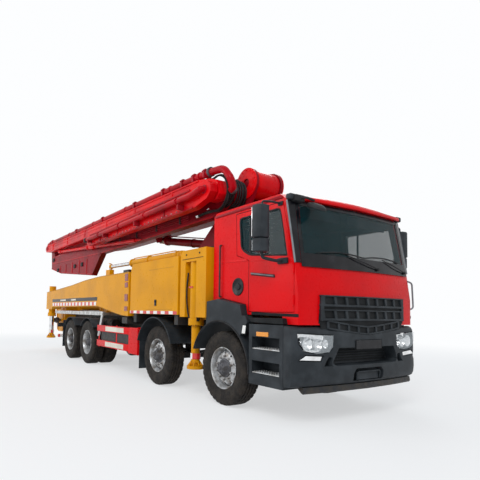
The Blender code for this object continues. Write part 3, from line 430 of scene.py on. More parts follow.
def rounded_route(points, radius, steps=4):
    """The points with each inner corner cut by a short arc."""
    points = [Vector(p) for p in points]
    route = [points[0]]
    for before, corner, after in zip(points, points[1:], points[2:]):
        into, out = (before - corner).normalized(), (after - corner).normalized()
        reach = min(radius, (before - corner).length * 0.45, (after - corner).length * 0.45)
        start, end = corner + into * reach, corner + out * reach
        for i in range(steps + 1):
            t = i / steps
            route.append((1 - t) ** 2 * start + 2 * t * (1 - t) * corner + t * t * end)
    route.append(points[-1])
    return route


def joined(pieces):
    pieces = list(pieces)
    settle()
    for piece in pieces:
        piece.select_set(True)
    bpy.context.view_layer.objects.active = pieces[0]
    if len(pieces) > 1:
        bpy.ops.object.join()
    return bpy.context.object


def copied(obj, matrix):
    twin = obj.copy()
    twin.data = obj.data.copy()
    bpy.context.scene.collection.objects.link(twin)
    twin.data.transform(matrix)
    if matrix.determinant() < 0:
        twin.data.flip_normals()
    return twin


def along(obj, count, step):
    """The piece and its copies, set out in a row."""
    return joined([obj] + [copied(obj, Matrix.Translation(Vector(step) * i)) for i in range(1, count)])


def around(obj, count, centre, axis="X", skip=()):
    here, back = Matrix.Translation(centre), Matrix.Translation(-Vector(centre))
    pieces = [copied(obj, here @ Matrix.Rotation(2 * pi * i / count, 4, axis) @ back)
              for i in range(count) if i not in skip]
    bpy.data.objects.remove(obj)
    return joined(pieces)


def cut(obj, *tools):
    for tool in tools:
        modified(obj, "BOOLEAN", operation="DIFFERENCE", solver="EXACT", object=tool)
        bpy.data.objects.remove(tool)
    return obj


def mirror_image(obj):
    return copied(obj, Matrix.Scale(-1, 4, (1, 0, 0)))


def copy_of_node(node):
    """A CAD node's shape as one closed mesh, in the front axle's frame."""
    source = NODES[node]
    obj = source.copy()
    obj.data = source.data.copy()
    bpy.context.scene.collection.objects.link(obj)
    for key in list(obj.keys()):
        del obj[key]
    obj.parent = None
    obj.matrix_world = Matrix.Identity(4)
    obj.data.transform(Matrix.Translation((0, -SHIFT_Y, 0)))
    take(obj)
    bpy.ops.object.mode_set(mode="EDIT")
    bpy.ops.mesh.select_all(action="SELECT")
    bpy.ops.mesh.remove_doubles(threshold=0.00005)
    bpy.ops.mesh.tris_convert_to_quads()
    bpy.ops.object.mode_set(mode="OBJECT")
    return obj


def done(obj, name, body, finish, smooth=32, replaces=()):
    """Names a finished piece, gives it its finish and hangs it on its body."""
    obj.name = name
    obj.data.name = name
    obj.data.materials.clear()
    obj.data.materials.append(finish)
    obj.data.transform(Matrix.Translation((0, SHIFT_Y, 0)))
    take(obj)
    if smooth:
        bpy.ops.object.shade_smooth_by_angle(angle=radians(smooth))
    for node in replaces:
        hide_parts(node)
    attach(obj, body)
    return obj


def both(obj, name, body, finish, smooth=32, replaces=None):
    """The right-hand piece and its mirror image; {} in the names stands for the side."""
    left = mirror_image(obj)
    for piece, side in ((obj, "right"), (left, "left")):
        done(piece, name.format(side), body.format(side), finish, smooth,
             [replaces.format(side)] if replaces else ())


def skin(corners, surface, thick, out, columns=1, rows=1):
    """A thin plate over a surface: four corners in its own two measures, then its thickness."""
    settle()
    bpy.ops.mesh.primitive_grid_add(x_subdivisions=columns, y_subdivisions=rows, size=1)
    obj = bpy.context.object
    p00, p10, p11, p01 = [Vector(c) for c in corners]
    for vertex in obj.data.vertices:
        s, t = vertex.co.x + 0.5, vertex.co.y + 0.5
        a, b = (1 - t) * ((1 - s) * p00 + s * p10) + t * ((1 - s) * p01 + s * p11)
        vertex.co = surface(a, b, out)
    bpy.ops.object.mode_set(mode="EDIT")
    bpy.ops.mesh.select_all(action="SELECT")
    bpy.ops.mesh.normals_make_consistent(inside=False)
    bpy.ops.object.mode_set(mode="OBJECT")
    return modified(obj, "SOLIDIFY", thickness=thick, offset=0)


def sliced(obj, x):
    """A cut right round the piece, so that it can bend there."""
    take(obj)
    bpy.ops.object.mode_set(mode="EDIT")
    bpy.ops.mesh.select_all(action="SELECT")
    bpy.ops.mesh.bisect(plane_co=(x, 0, 0), plane_no=(1, 0, 0))
    bpy.ops.object.mode_set(mode="OBJECT")


def between(points, x):
    """The value at x on a line of (x, value) points."""
    for (x0, v0), (x1, v1) in zip(points, points[1:]):
        if x <= x1:
            return v0 + (v1 - v0) * max(0.0, x - x0) / (x1 - x0)
    return points[-1][1]


BOW = [(0.0, -0.08), (0.60, -0.055), (1.06, -0.012), (1.15, 0.015)]
CAB_NOSE = [(1.19, -1.47), (1.54, -1.47), (1.90, -1.42), (2.73, -1.27), (2.81, -1.16)]
BUMPER_BOW = [(0.0, -0.08), (0.60, -0.055), (1.17, 0.01), (1.24, 0.05)]
BUMPER_NOSE = [(0.40, -1.38), (0.48, -1.49), (0.80, -1.51), (1.12, -1.50), (1.175, -1.44)]


def cab_front(x, z, out):
    return x, between(CAB_NOSE, z) + between(BOW, abs(x)) - out, z


def bumper_front(x, z, out):
    return x, between(BUMPER_NOSE, z) + between(BUMPER_BOW, abs(x)) - out, z


def right_side(plane):
    return lambda y, z, out: (plane - out, y, z)


# ------------------------------------------------------------ wheels
AXLES = {1: 0.0, 2: 1.993, 3: 5.608, 4: 6.958}
WHEEL_Z = 0.5284
TREAD_R = 0.5282


def tyre(middle):
    """A tyre with ribs and a notched shoulder, its middle at x = middle."""
    rib = [(-0.088, TREAD_R), (-0.086, 0.515), (-0.074, 0.515), (-0.072, TREAD_R),
           (-0.034, TREAD_R), (-0.032, 0.514), (-0.022, 0.514), (-0.020, TREAD_R)]
    half = [(-0.112, 0.288), (-0.122, 0.298), (-0.131, 0.312), (-0.134, 0.322), (-0.146, 0.352),
            (-0.153, 0.385),
            (-0.155, 0.415), (-0.1535, 0.440), (-0.149, 0.462), (-0.1495, 0.468), (-0.145, 0.474),
            (-0.141, 0.494),
            (-0.132, 0.512), (-0.122, 0.5225), (-0.104, 0.5275)] + rib
    profile = half + [(-x, r) for x, r in reversed(half)]
    obj = turned(profile, (0, 0, 0), steps=144)
    for vertex in obj.data.vertices:
        x, y, z = vertex.co
        radius = math.hypot(y, z)
        step = round(math.atan2(z, y) / (2 * pi) * 144) % 4
        if radius > 0.49 and abs(x) > 0.10 and step < 1:
            shrink = (radius - 0.012) / radius
            vertex.co = (x * 0.985, y * shrink, z * shrink)
        elif radius > 0.52 and abs(x) < 0.09 and step < 1:
            shrink = (radius - 0.006) / radius
            vertex.co = (x, y * shrink, z * shrink)
    obj.data.transform(Matrix.Translation((middle, 0, 0)))
    return obj


def disc_wheel(face, dish, holes=10):
    """A steel wheel: face is the rim's outer edge, dish how far behind it the disc lies (negative: ahead)."""
    rim = turned([(0, 0.2985), (-0.006, 0.296), (-0.006, 0.286), (0.004, 0.279), (0.030, 0.272),
                  (0.060, 0.262),
                  (0.120, 0.256), (0.200, 0.262), (0.236, 0.272), (0.244, 0.2985), (0.238, 0.300),
                  (0.228, 0.281),
                  (0.196, 0.274), (0.120, 0.268), (0.062, 0.273), (0.030, 0.284), (0.012, 0.290)],
                 (0, 0, 0), steps=56)
    disc = turned([(dish + 0.075, 0.258), (dish + 0.050, 0.248), (dish + 0.016, 0.226), (dish, 0.205),
                   (dish, 0.135),
                   (dish + 0.014, 0.135), (dish + 0.014, 0.200), (dish + 0.030, 0.219),
                   (dish + 0.062, 0.240),
                   (dish + 0.090, 0.262)], (0, 0, 0), steps=60)
    hole = round_bar((dish - 0.05, 0, 0.221), (dish + 0.12, 0, 0.221), 0.019, 14)
    cut(disc, around(hole, holes, (0, 0, 0)))
    wheel = joined([rim, disc])
    wheel.data.transform(Matrix.Translation((face, 0, 0)))
    return wheel


def hub(face, dish, reach):
    """The hub's cap and flange, the studs and the centre plug; the wheel nuts are made apart."""
    cap = turned([(dish + 0.03, 0), (dish + 0.03, 0.138), (dish - 0.012, 0.136), (dish - 0.020, 0.110),
                  (dish - reach * 0.6, 0.098), (dish - reach, 0.084), (dish - reach - 0.012, 0.055),
                  (dish - reach - 0.012, 0)], (0, 0, 0), steps=36)
    bolt = around(round_bar((dish - reach - 0.004, 0, 0.068), (dish - reach - 0.016, 0, 0.068), 0.008, 6),
                  8, (0, 0, 0))
    plug = round_bar((dish - reach, 0, 0), (dish - reach - 0.022, 0, 0), 0.024, 12, edge=0.004)
    whole = joined([cap, bolt, plug])
    whole.data.transform(Matrix.Translation((face, 0, 0)))
    return whole


def wheel_nuts(face, dish):
    nut = joined([round_bar((dish + 0.01, 0, 0.1675), (dish - 0.022, 0, 0.1675), 0.0175, 6, edge=0.002),
                  round_bar((dish - 0.02, 0, 0.1675), (dish - 0.034, 0, 0.1675), 0.011, 10)])
    nuts = around(nut, 10, (0, 0, 0))
    nuts.data.transform(Matrix.Translation((face, 0, 0)))
    return nuts


def make_wheels():
    tread = {"front": tyre(-1.02), "rear": joined([tyre(-1.075), tyre(-0.725)])}
    steel = {"front": disc_wheel(-1.145, 0.035),
             "rear": joined([disc_wheel(-1.200, 0.150), disc_wheel(-0.850, 0.150)])}
    hubs = {"front": hub(-1.145, 0.035, 0.075), "rear": hub(-1.200, 0.150, 0.150)}
    nuts = {"front": wheel_nuts(-1.145, 0.035), "rear": wheel_nuts(-1.200, 0.150)}
    for number, y in AXLES.items():
        kind = "front" if number < 3 else "rear"
        stem = "wheel" if number < 3 else "twin_wheel"
        for side, turn in (("right", Matrix.Identity(4)), ("left", Matrix.Scale(-1, 4, (1, 0, 0)))):
            place = Matrix.Translation((0, y, WHEEL_Z)) @ turn
            body = f"{stem}_{number}_{side}"
            done(copied(tread[kind], place), f"tyre_{number}_{side}", body, RUBBER, 40,
                 [body])
            done(copied(steel[kind], place), f"steel_wheel_{number}_{side}", body, SILVER,
                 40)
            done(copied(hubs[kind], place), f"hub_{number}_{side}", body, IRON, 40)
            done(copied(nuts[kind], place), f"nuts_{number}_{side}", body, NUT_STEEL, 25)
    for made in (tread, steel, hubs, nuts):
        for obj in made.values():
            bpy.data.objects.remove(obj)


# ------------------------------------------------------------ cab
def make_cab_skin():
    """The cab's panels and doors with rounded edges, their inner faces lined."""
    panels = keep_shape("cab_shell", "cab_panels", "truck", RED, 0.012, 3)
    lined(panels)
    for side in ("right", "left"):
        lined(keep_shape(f"door_{side}", f"door_panel_{side}", f"door_{side}", RED, 0.006))


def lined(panels):
    """What faces into the cab, and lies behind its skin, is dark trim."""
    panels.data.materials.append(LINING)
    low, high = Vector((-1.142, -1.50 + SHIFT_Y, 1.33)), Vector((1.142, 0.235 + SHIFT_Y, 2.79))
    middle = Vector((0, -0.6 + SHIFT_Y, 2.0))
    for face in panels.data.polygons:
        inside = all(a < c < b for a, c, b in zip(low, face.center, high))
        if inside and face.normal.dot(middle - face.center) > 0:
            face.material_index = 1


def make_glass():
    pane = skin([(-1.055, 1.905), (1.055, 1.905), (1.03, 2.70), (-1.03, 2.70)], cab_front, 0.006, 0.009,
                32, 8)
    done(pane, "windscreen_pane", "truck", GLASS, 60, ["windscreen"])
    band = [skin([(-1.075, 1.885), (1.075, 1.885), (1.07, 2.055), (-1.07, 2.055)], cab_front, 0.004,
                 0.0150, 32, 2),
            skin([(-1.055, 2.655), (1.055, 2.655), (1.045, 2.715), (-1.045, 2.715)], cab_front, 0.004,
                 0.0150, 32, 2),
            skin([(-1.078, 1.885), (-1.025, 1.885), (-1.005, 2.715), (-1.052, 2.715)], cab_front, 0.004,
                 0.0150, 1, 8),
            skin([(1.078, 1.885), (1.025, 1.885), (1.005, 2.715), (1.052, 2.715)], cab_front, 0.004,
                 0.0150, 1, 8)]
    done(joined(band), "windscreen_border", "truck", GLOSS_BLACK, 60)
    seal = pipe(rounded_route([(-1.27, 2.03, 0), (-0.56, 2.10, 0), (-0.39, 2.20, 0), (-0.35, 2.63, 0),
                               (-1.15, 2.63, 0),
                               (-1.27, 2.03, 0)], 0.07), 0.012, rings=2)
    for vertex in seal.data.vertices:
        y, z, x = vertex.co
        vertex.co = (-1.148 + x * 0.6, y, z)
    take(seal)
    both(seal, "door_seal_{}", "door_{}", TRIM_RUBBER, 50)
    window = slab([(-1.275, 2.025), (-0.56, 2.095), (-0.385, 2.195), (-0.345, 2.635), (-1.155, 2.635)],
                  -1.136, -1.130)
    both(window, "door_glass_{}", "door_{}", GLASS)
    divider = block((-1.146, -0.585, 2.08), (-1.128, -0.560, 2.64))
    both(divider, "door_glass_bar_{}", "door_{}", TRIM_RUBBER)


def make_pillars():
    """The dark strips up the front corners, with the grey edge beside the door."""
    dark = joined([skin([(-1.148, 1.93), (-1.078, 1.93), (-1.052, 2.72), (-1.142, 2.72)], cab_front,
                        0.006, 0.010, 4, 10)])
    both(dark, "corner_strip_{}", "truck", GLOSS_BLACK, 60)
    edge = pipe([(-1.150, -1.405, 1.93), (-1.151, -1.33, 2.35), (-1.150, -1.262, 2.71)], 0.012, soft=True,
                rings=3)
    both(edge, "corner_edge_{}", "truck", GREY_TRIM, 60)


def make_roof():
    visor = slab([(-1.10, 2.805), (-1.20, 2.82), (-1.29, 2.80), (-1.335, 2.765), (-1.345, 2.735),
                  (-1.335, 2.715), (-1.27, 2.735),
                  (-1.14, 2.79)], -1.06, 1.06, edge=0.008, segments=2)
    for i in range(1, 16):
        sliced(visor, -1.06 + 2.12 * i / 16)
    for vertex in visor.data.vertices:
        vertex.co.y += between(BOW, abs(vertex.co.x))
        vertex.co.z -= 0.05 * (abs(vertex.co.x) / 1.06) ** 3 if vertex.co.z > 2.77 else 0
    done(visor, "roof_visor", "truck", RED, 50)
    ends = block((-1.155, -1.33, 2.715), (-1.045, -1.24, 2.79), 0.02, 2)
    both(ends, "roof_visor_end_{}", "truck", PLASTIC, 50)
    gutter = slab([(-1.20, 2.745), (0.22, 2.725), (0.25, 2.76), (-1.18, 2.785)], -1.165, -1.145, edge=0.006)
    both(gutter, "roof_gutter_{}", "truck", DEEP_RED, 50)
    hatch = block((-0.42, -0.95, 2.795), (0.42, -0.15, 2.828), 0.016, 2)
    done(hatch, "roof_hatch", "truck", RED, 50)
    lights = along(block((-0.03, -1.20, 2.80), (0.03, -1.13, 2.826), 0.012, 2), 1, (0, 0, 0))
    rows = joined([lights] + [copied(lights, Matrix.Translation((x, 0, 0)))
                              for x in (-0.95, -0.45, 0.45, 0.95)])
    done(rows, "roof_marker_lamps", "truck", AMBER, 50)


def make_grille():
    """Two rows of pockets in the red front; the bent third row over the bumper is made with the bumper."""
    back = skin([(-0.86, 1.21), (0.86, 1.21), (0.83, 1.545), (-0.83, 1.545)], cab_front, 0.006, 0.006, 24,
                2)
    done(back, "grille_back", "truck", DEEP_BLACK, 60)
    bars = []
    for low, high in ((1.415, 1.535), (1.245, 1.365)):
        for z, thick in ((low, 0.028), (high, 0.016)):
            bars.append(skin([(-0.85, z), (0.85, z), (0.85, z + thick), (-0.85, z + thick)], cab_front,
                             0.035, 0.018, 24, 1))
        for i in range(9):
            x = -0.80 + 0.20 * i
            rib = skin([(x - 0.010, low), (x + 0.034, low), (x + 0.012, high), (x - 0.034, high)],
                       cab_front, 0.030, 0.016, 1, 1)
            bars.append(rib)
    for sign in (-1, 1):
        bars.append(skin([(sign * 0.85, 1.24), (sign * 0.81, 1.24), (sign * 0.78, 1.54),
                          (sign * 0.84, 1.54)],
                         cab_front, 0.034, 0.018, 1, 3))
    rows = joined(bars)
    eased(rows, 0.004, 1, 40)
    done(rows, "grille_rows", "truck", PLASTIC, 35)


def v_line(x):
    """Height of the bent grille row above the bumper."""
    return 1.045 + 0.085 * (abs(x) / 0.80) ** 1.3


def make_bumper():
    outline = [(-1.305, 0.50), (-1.305, 1.165), (-1.40, 1.172), (-1.44, 1.170), (-1.475, 1.150),
               (-1.495, 1.115),
               (-1.503, 1.05), (-1.507, 0.95), (-1.508, 0.84), (-1.500, 0.74), (-1.512, 0.70),
               (-1.514, 0.60),
               (-1.505, 0.53), (-1.485, 0.485), (-1.45, 0.462), (-1.385, 0.455)]
    shell = slab(outline, -1.24, 1.24)
    for i in range(1, 40):
        sliced(shell, -1.24 + 2.48 * i / 40)
    for vertex in shell.data.vertices:
        if vertex.co.y < -1.31:
            x = abs(vertex.co.x)
            vertex.co.y += -0.075 + 0.065 * x * x + 0.045 * max(0.0, (x - 1.06) / 0.18) ** 2
    mouth = slab([(-0.60, 0.70), (0.60, 0.70), (0.66, 0.735), (0.56, 0.915), (-0.56, 0.915),
                  (-0.66, 0.735)],
                 -1.70, -1.38, "Y", 0.012, 2)
    step = slab([(-0.30, 0.50), (0.30, 0.50), (0.30, 0.60), (0.25, 0.655), (-0.25, 0.655), (-0.30, 0.60)],
                -1.70, -1.48, "Y", 0.012, 2)
    plate_place = block((-0.28, -1.70, 0.905), (0.28, -1.572, 1.01))
    tools = [mouth, step, plate_place]
    for sign in (-1, 1):
        lamp = [(sign * 1.175, 1.10), (sign * 1.165, 0.97), (sign * 1.10, 0.88), (sign * 0.90, 0.845),
                (sign * 0.715, 0.86), (sign * 0.655, 0.92), (sign * 0.645, 1.075), (sign * 0.90, 1.085)]
        tools.append(slab(lamp, -1.70, -1.40, "Y"))
        low = [(sign * 1.17, 0.775), (sign * 0.83, 0.755), (sign * 0.80, 0.83), (sign * 1.08, 0.845)]
        tools.append(slab(low, -1.70, -1.455, "Y"))
        notch = [(sign * 0.80, 0.70), (sign * 0.665, 0.70), (sign * 0.66, 0.80), (sign * 0.72, 0.815)]
        tools.append(slab(notch, -1.70, -1.46, "Y"))
    v_groove = []
    for i in range(9):
        v_groove.append((-0.80 + 0.2 * i, v_line(-0.80 + 0.2 * i) + 0.020))
    v_groove = [(x, z) for x, z in v_groove] + [(0.84, 1.30), (-0.84, 1.30)]
    tools.append(slab(v_groove, -1.70, -1.44, "Y"))
    cut(shell, *tools)
    eased(shell, 0.006, 2, 35)
    done(shell, "bumper_shell", "truck", PLASTIC, 35, ["bumper"])
    lower = slab([(-1.385, 0.455), (-1.49, 0.462), (-1.500, 0.405), (-1.485, 0.385), (-1.46, 0.395)],
                 -1.08, 1.08)
    for i in range(1, 12):
        sliced(lower, -1.08 + 2.16 * i / 12)
    for vertex in lower.data.vertices:
        vertex.co.y += between(BUMPER_BOW, abs(vertex.co.x)) + 0.02
    done(lower, "bumper_lip", "truck", BLACK, 35)
    row = []
    for i in range(8):
        x0, x1 = -0.72 + 0.18 * i, -0.72 + 0.18 * (i + 1)
        for z in (0.022, 0.112):
            row.append(skin([(x0, v_line(x0) + z), (x1, v_line(x1) + z), (x1, v_line(x1) + z + 0.022),
                             (x0, v_line(x0) + z + 0.022)], cab_front, 0.026, 0.018, 2, 1))
    for i in range(9):
        x = -0.72 + 0.18 * i
        row.append(skin([(x - 0.018, v_line(x) + 0.03), (x + 0.022, v_line(x) + 0.03),
                         (x + 0.018, v_line(x) + 0.12),
                         (x - 0.022, v_line(x) + 0.12)], cab_front, 0.022, 0.014, 1, 1))
    done(eased(joined(row), 0.004, 1, 40), "grille_third_row", "truck", PLASTIC, 35)
    back = skin([(-0.80, 1.06), (0.80, 1.06), (0.84, 1.22), (-0.84, 1.22)], cab_front, 0.006, 0.004, 16, 1)
    done(back, "grille_third_back", "truck", DEEP_BLACK, 60)
    number_plate = block((-0.26, -1.588, 0.89), (0.26, -1.580, 1.00), 0.003)
    done(number_plate, "blank_number_plate", "truck", GLOSS_BLACK)
    bar = pipe(rounded_route([(-0.23, -1.570, 0.52), (-0.23, -1.579, 0.61), (0.23, -1.579, 0.61),
                              (0.23, -1.570, 0.52)], 0.03),
               0.009, rings=2)
    flap = block((-0.225, -1.56, 0.505), (0.225, -1.545, 0.60), 0.006)
    done(joined([bar, flap]), "tow_cover", "truck", PLASTIC, 35)
    honey = along(block((-0.60, -1.405, 0.735), (0.60, -1.385, 0.747)), 6, (0, 0, 0.03))
    done(honey, "mouth_slats", "truck", DEEP_BLACK)


def make_headlamps():
    for side, sign in (("right", -1), ("left", 1)):
        shape = [(sign * 1.165, 1.09), (sign * 1.155, 0.97), (sign * 1.09, 0.89), (sign * 0.90, 0.855),
                 (sign * 0.72, 0.87), (sign * 0.665, 0.93), (sign * 0.655, 1.065), (sign * 0.90, 1.075)]
        cover = slab(shape, -1.52, -1.514, "Y")
        bowl = slab([(x * 0.995, 0.985 + (z - 0.985) * 0.96) for x, z in shape], -1.425, -1.405, "Y")
        for piece in (cover, bowl):
            for vertex in piece.data.vertices:
                vertex.co.y += between(BUMPER_BOW, abs(vertex.co.x)) + 0.012
        done(cover, f"headlamp_lens_{side}", "truck", CLEAR, 30)
        done(bowl, f"headlamp_bowl_{side}", "truck", LAMP_SILVER, 30)
        rings = []
        for x, z, r in ((sign * 1.02, 0.965, 0.078), (sign * 0.86, 0.955, 0.066),
                        (sign * 0.745, 0.965, 0.048)):
            y = -1.40 + between(BUMPER_BOW, abs(x))
            rings.append(turned([(0.0, r * 0.35), (-0.020, r * 0.75), (-0.055, r), (-0.060, r * 1.06),
                                 (-0.040, r * 1.06),
                                 (0.012, r * 0.40)], (x, y - 0.01, z), "Y", 28))
            rings.append(round_bar((x, y, z), (x, y - 0.045, z), r * 0.30, 14, r * 0.22, 0.004))
        done(joined(rings), f"headlamp_reflectors_{side}", "truck", LAMP_SILVER, 40)
        strip = slab([(sign * 1.155, 0.782), (sign * 0.845, 0.765), (sign * 0.82, 0.82),
                      (sign * 1.07, 0.835)],
                     -1.500, -1.486, "Y", 0.004)
        for vertex in strip.data.vertices:
            vertex.co.y += between(BUMPER_BOW, abs(vertex.co.x)) + 0.004
        done(strip, f"lower_lamp_{side}", "truck", LAMP_SILVER, 40)


# ------------------------------------------------------------ what hangs on the cab
def flat_panels(obj, width=0.008, segments=2):
    """A CAD shape with rounded edges whose flat faces still shade flat."""
    eased(obj, width, segments, 40)
    take(obj)
    bpy.ops.object.shade_smooth_by_angle(angle=radians(42))
    return modified(obj, "WEIGHTED_NORMAL", keep_sharp=True)


def keep_shape(node, name, body, finish, width=0.008, segments=2):
    return done(flat_panels(copy_of_node(node), width, segments), name, body, finish, 0, [node])


def make_mirrors():
    outline = [(-1.546, -1.13), (-1.525, -1.20), (-1.46, -1.226), (-1.39, -1.214), (-1.352, -1.17),
               (-1.355, -1.075),
               (-1.38, -1.058), (-1.52, -1.058), (-1.546, -1.08)]
    upper = slab(outline, 2.225, 2.625, "Z", 0.016, 3)
    lower = slab([(x * 0.996, y * 0.995) for x, y in outline], 2.055, 2.218, "Z", 0.016, 3)
    both(joined([upper, lower]), "mirror_housing_{}", "door_{}", PLASTIC, 40, "mirror_{}")
    arms = joined([pipe(rounded_route([(-1.155, -1.21, 1.962), (-1.24, -1.20, 1.955), (-1.43, -1.13, 1.99),
                                       (-1.43, -1.13, 2.08)], 0.06), 0.020, rings=3),
                   pipe(rounded_route([(-1.150, -1.16, 2.685), (-1.30, -1.15, 2.69), (-1.43, -1.13, 2.68),
                                       (-1.43, -1.13, 2.61)], 0.05), 0.013, rings=3),
                   block((-1.185, -1.30, 1.925), (-1.148, -1.13, 2.00), 0.012, 2),
                   block((-1.170, -1.20, 2.66), (-1.148, -1.12, 2.71), 0.006)])
    both(arms, "mirror_arms_{}", "door_{}", PLASTIC, 40)
    glass = joined([block((-1.530, -1.059, 2.245), (-1.370, -1.052, 2.605), 0.002),
                    block((-1.525, -1.063, 2.075), (-1.370, -1.056, 2.200), 0.002)])
    both(glass, "mirror_glass_{}", "door_{}", CHROME, 40)
    bowl = turned([(0, 0), (0, 0.075), (0.02, 0.115), (0.045, 0.125), (0.05, 0.120), (0.05, 0)],
                  (-0.86, -1.494, 2.655), "Y", 24)
    bowl.data.transform(Matrix.Translation((-0.86, -1.494, 2.655)) @ Matrix.Rotation(radians(-62), 4, "X")
                        @ Matrix.Translation((0.86, 1.494, -2.655)))
    holder = pipe(rounded_route([(-1.03, -1.335, 2.735), (-0.98, -1.41, 2.74), (-0.88, -1.46, 2.70)],
                                0.05), 0.016)
    foot = block((-1.10, -1.37, 2.69), (-0.94, -1.28, 2.775), 0.016, 2)
    done(joined([bowl, holder, foot]), "kerb_mirror", "truck", TRIM_RUBBER, 40)


def make_door_trim():
    slot = slab([(-1.065, 1.765), (-0.61, 1.825), (-0.60, 1.862), (-1.06, 1.805)], -1.156, -1.149)
    bar = pipe([(-1.05, 1.789, 0), (-0.62, 1.846, 0)], 0.010)
    for vertex in bar.data.vertices:
        y, z, x = vertex.co
        vertex.co = (-1.163 + x, y, z)
    crease = slab([(-1.36, 1.955), (-0.58, 2.012), (-0.58, 2.024), (-1.36, 1.972)], -1.154, -1.148)
    both(slot, "handle_slot_{}", "door_{}", DEEP_BLACK)
    both(bar, "door_handle_{}", "door_{}", GREY_TRIM)
    both(eased(crease, 0.002), "door_crease_{}", "door_{}", RED)
    rear = slab([(-0.535, 2.022), (0.13, 2.040), (0.10, 2.058), (-0.50, 2.062)], -1.156, -1.147)
    both(eased(rear, 0.003), "rear_crease_{}", "truck", RED)
    cap = turned([(0.006, 0), (0.006, 0.110), (-0.004, 0.124), (-0.012, 0.120), (-0.014, 0.108),
                  (-0.006, 0.094), (-0.004, 0.05),
                  (-0.014, 0.045), (-0.014, 0)], (-1.150, -0.33, 1.68), "X", 36)
    both(cap, "filler_cap_{}", "truck", GLOSS_BLACK, 40)
    lower = slab([(-1.46, 1.28), (-0.62, 1.30), (-0.62, 1.335), (-1.46, 1.318)], -1.152, -1.144)
    both(lower, "sill_line_{}", "truck", DEEP_BLACK)
    handle = pipe(rounded_route([(-1.155, 0.06, 1.55), (-1.185, 0.06, 1.55), (-1.185, 0.06, 2.30),
                                 (-1.155, 0.06, 2.30)], 0.03),
                  0.012)
    both(handle, "entry_rail_{}", "truck", BLACK)


def make_wipers():
    pieces = []
    for foot, tip, low, high in ((0.30, -0.30, -0.82, 0.02), (1.00, 0.45, 0.02, 0.86)):
        pieces.append(round_bar(cab_front(foot, 1.93, -0.01), cab_front(foot, 1.935, 0.045), 0.020, 12,
                                edge=0.004))
        pieces.append(pipe([cab_front(foot, 1.935, 0.035), cab_front((foot + tip) / 2, 2.00, 0.045),
                            cab_front(tip, 2.075, 0.030)], 0.008, soft=True, rings=2))
        blade = [cab_front(low + (high - low) * t, 2.065 + 0.035 * math.sin(pi * t), 0.026)
                 for t in (0, .25, .5, .75, 1)]
        pieces.append(pipe(blade, 0.009, soft=True, rings=2))
    done(joined(pieces), "wipers", "truck", TRIM_RUBBER, 40)
    rail = pipe(rounded_route([(1.13, -1.43, 1.40), (1.19, -1.475, 1.43), (1.19, -1.46, 1.80),
                               (1.13, -1.40, 1.83)], 0.06), 0.012)
    done(rail, "corner_grab_rail", "truck", GREY_TRIM, 40)
    feet = joined([round_bar(cab_front(x, 1.945, -0.005), cab_front(x, 1.945, 0.012), 0.012, 10)
                   for x in (-0.7, 0.0, 0.7)])
    done(feet, "washer_jets", "truck", DEEP_BLACK, 40)


def make_interior():
    keep_shape("cab_interior", "seats_and_dash", "truck", CLOTH, 0.022, 3)
    rim = turned([(0.012 * cos(a), 0.212 + 0.012 * sin(a)) for a in [2 * pi * i / 8 for i in range(8)]],
                 (0, 0, 0), "Z", 36)
    rim.data.transform(Matrix.Translation((0.58, -0.86, 1.962)) @ Matrix.Rotation(-math.atan2(0.5, 0.86),
                                                                                  4, "X"))
    done(rim, "steering_rim", "truck", TRIM_RUBBER, 40)
    shade = joined([block((x - 0.42, -1.20, 2.55), (x + 0.42, -1.18, 2.68), 0.006) for x in (-0.5, 0.5)])
    done(shade, "sun_shades", "truck", CLOTH)


def make_fenders():
    for side in ("right", "left"):
        keep_shape(f"front_fender_{side}", f"fender_and_steps_{side}", "truck", PLASTIC,
                   0.008, 2)
    arc = [(0, 0.675 * cos(radians(a)), WHEEL_Z + 0.675 * sin(radians(a))) for a in range(20, 181, 8)]
    lip = pipe([(-1.243, y, z) for _, y, z in arc], 0.011, rings=2)
    both(lip, "fender_lip_{}", "truck", TRIM_RUBBER, 50)
    treads = []
    for z in (0.565, 0.865):
        treads.append(block((-1.235, -1.235, z), (-1.03, -0.745, z + 0.014), 0.002))
        stud = round_bar((-1.215, -1.20, z + 0.012), (-1.215, -1.20, z + 0.020), 0.010, 8)
        treads.append(along(along(stud, 5, (0.042, 0, 0)), 11, (0, 0.043, 0)))
    both(joined(treads), "step_treads_{}", "truck", ALUMINIUM, 40)
    both(block((-1.250, -1.05, 1.03), (-1.238, -0.83, 1.085), 0.004), "side_marker_{}", "truck", AMBER)
    reflector = skin([(-0.60, 1.05), (-0.535, 1.05), (-0.56, 1.155), (-0.62, 1.155)], right_side(-1.243),
                     0.006, 0.0)
    both(reflector, "fender_reflector_{}", "truck", TAPE)
    rubber = slab([(-1.29, 1.185), (-0.70, 1.20), (-0.66, 1.26), (-1.27, 1.265)], -1.235, -1.14, edge=0.01)
    both(rubber, "step_top_{}", "truck", DEEP_BLACK)


# ------------------------------------------------------------ the yellow body
def taped(outline, plane, name, body, finish=None):
    both(slab(outline, plane - 0.003, plane + 0.001), name, body, finish or TAPE)


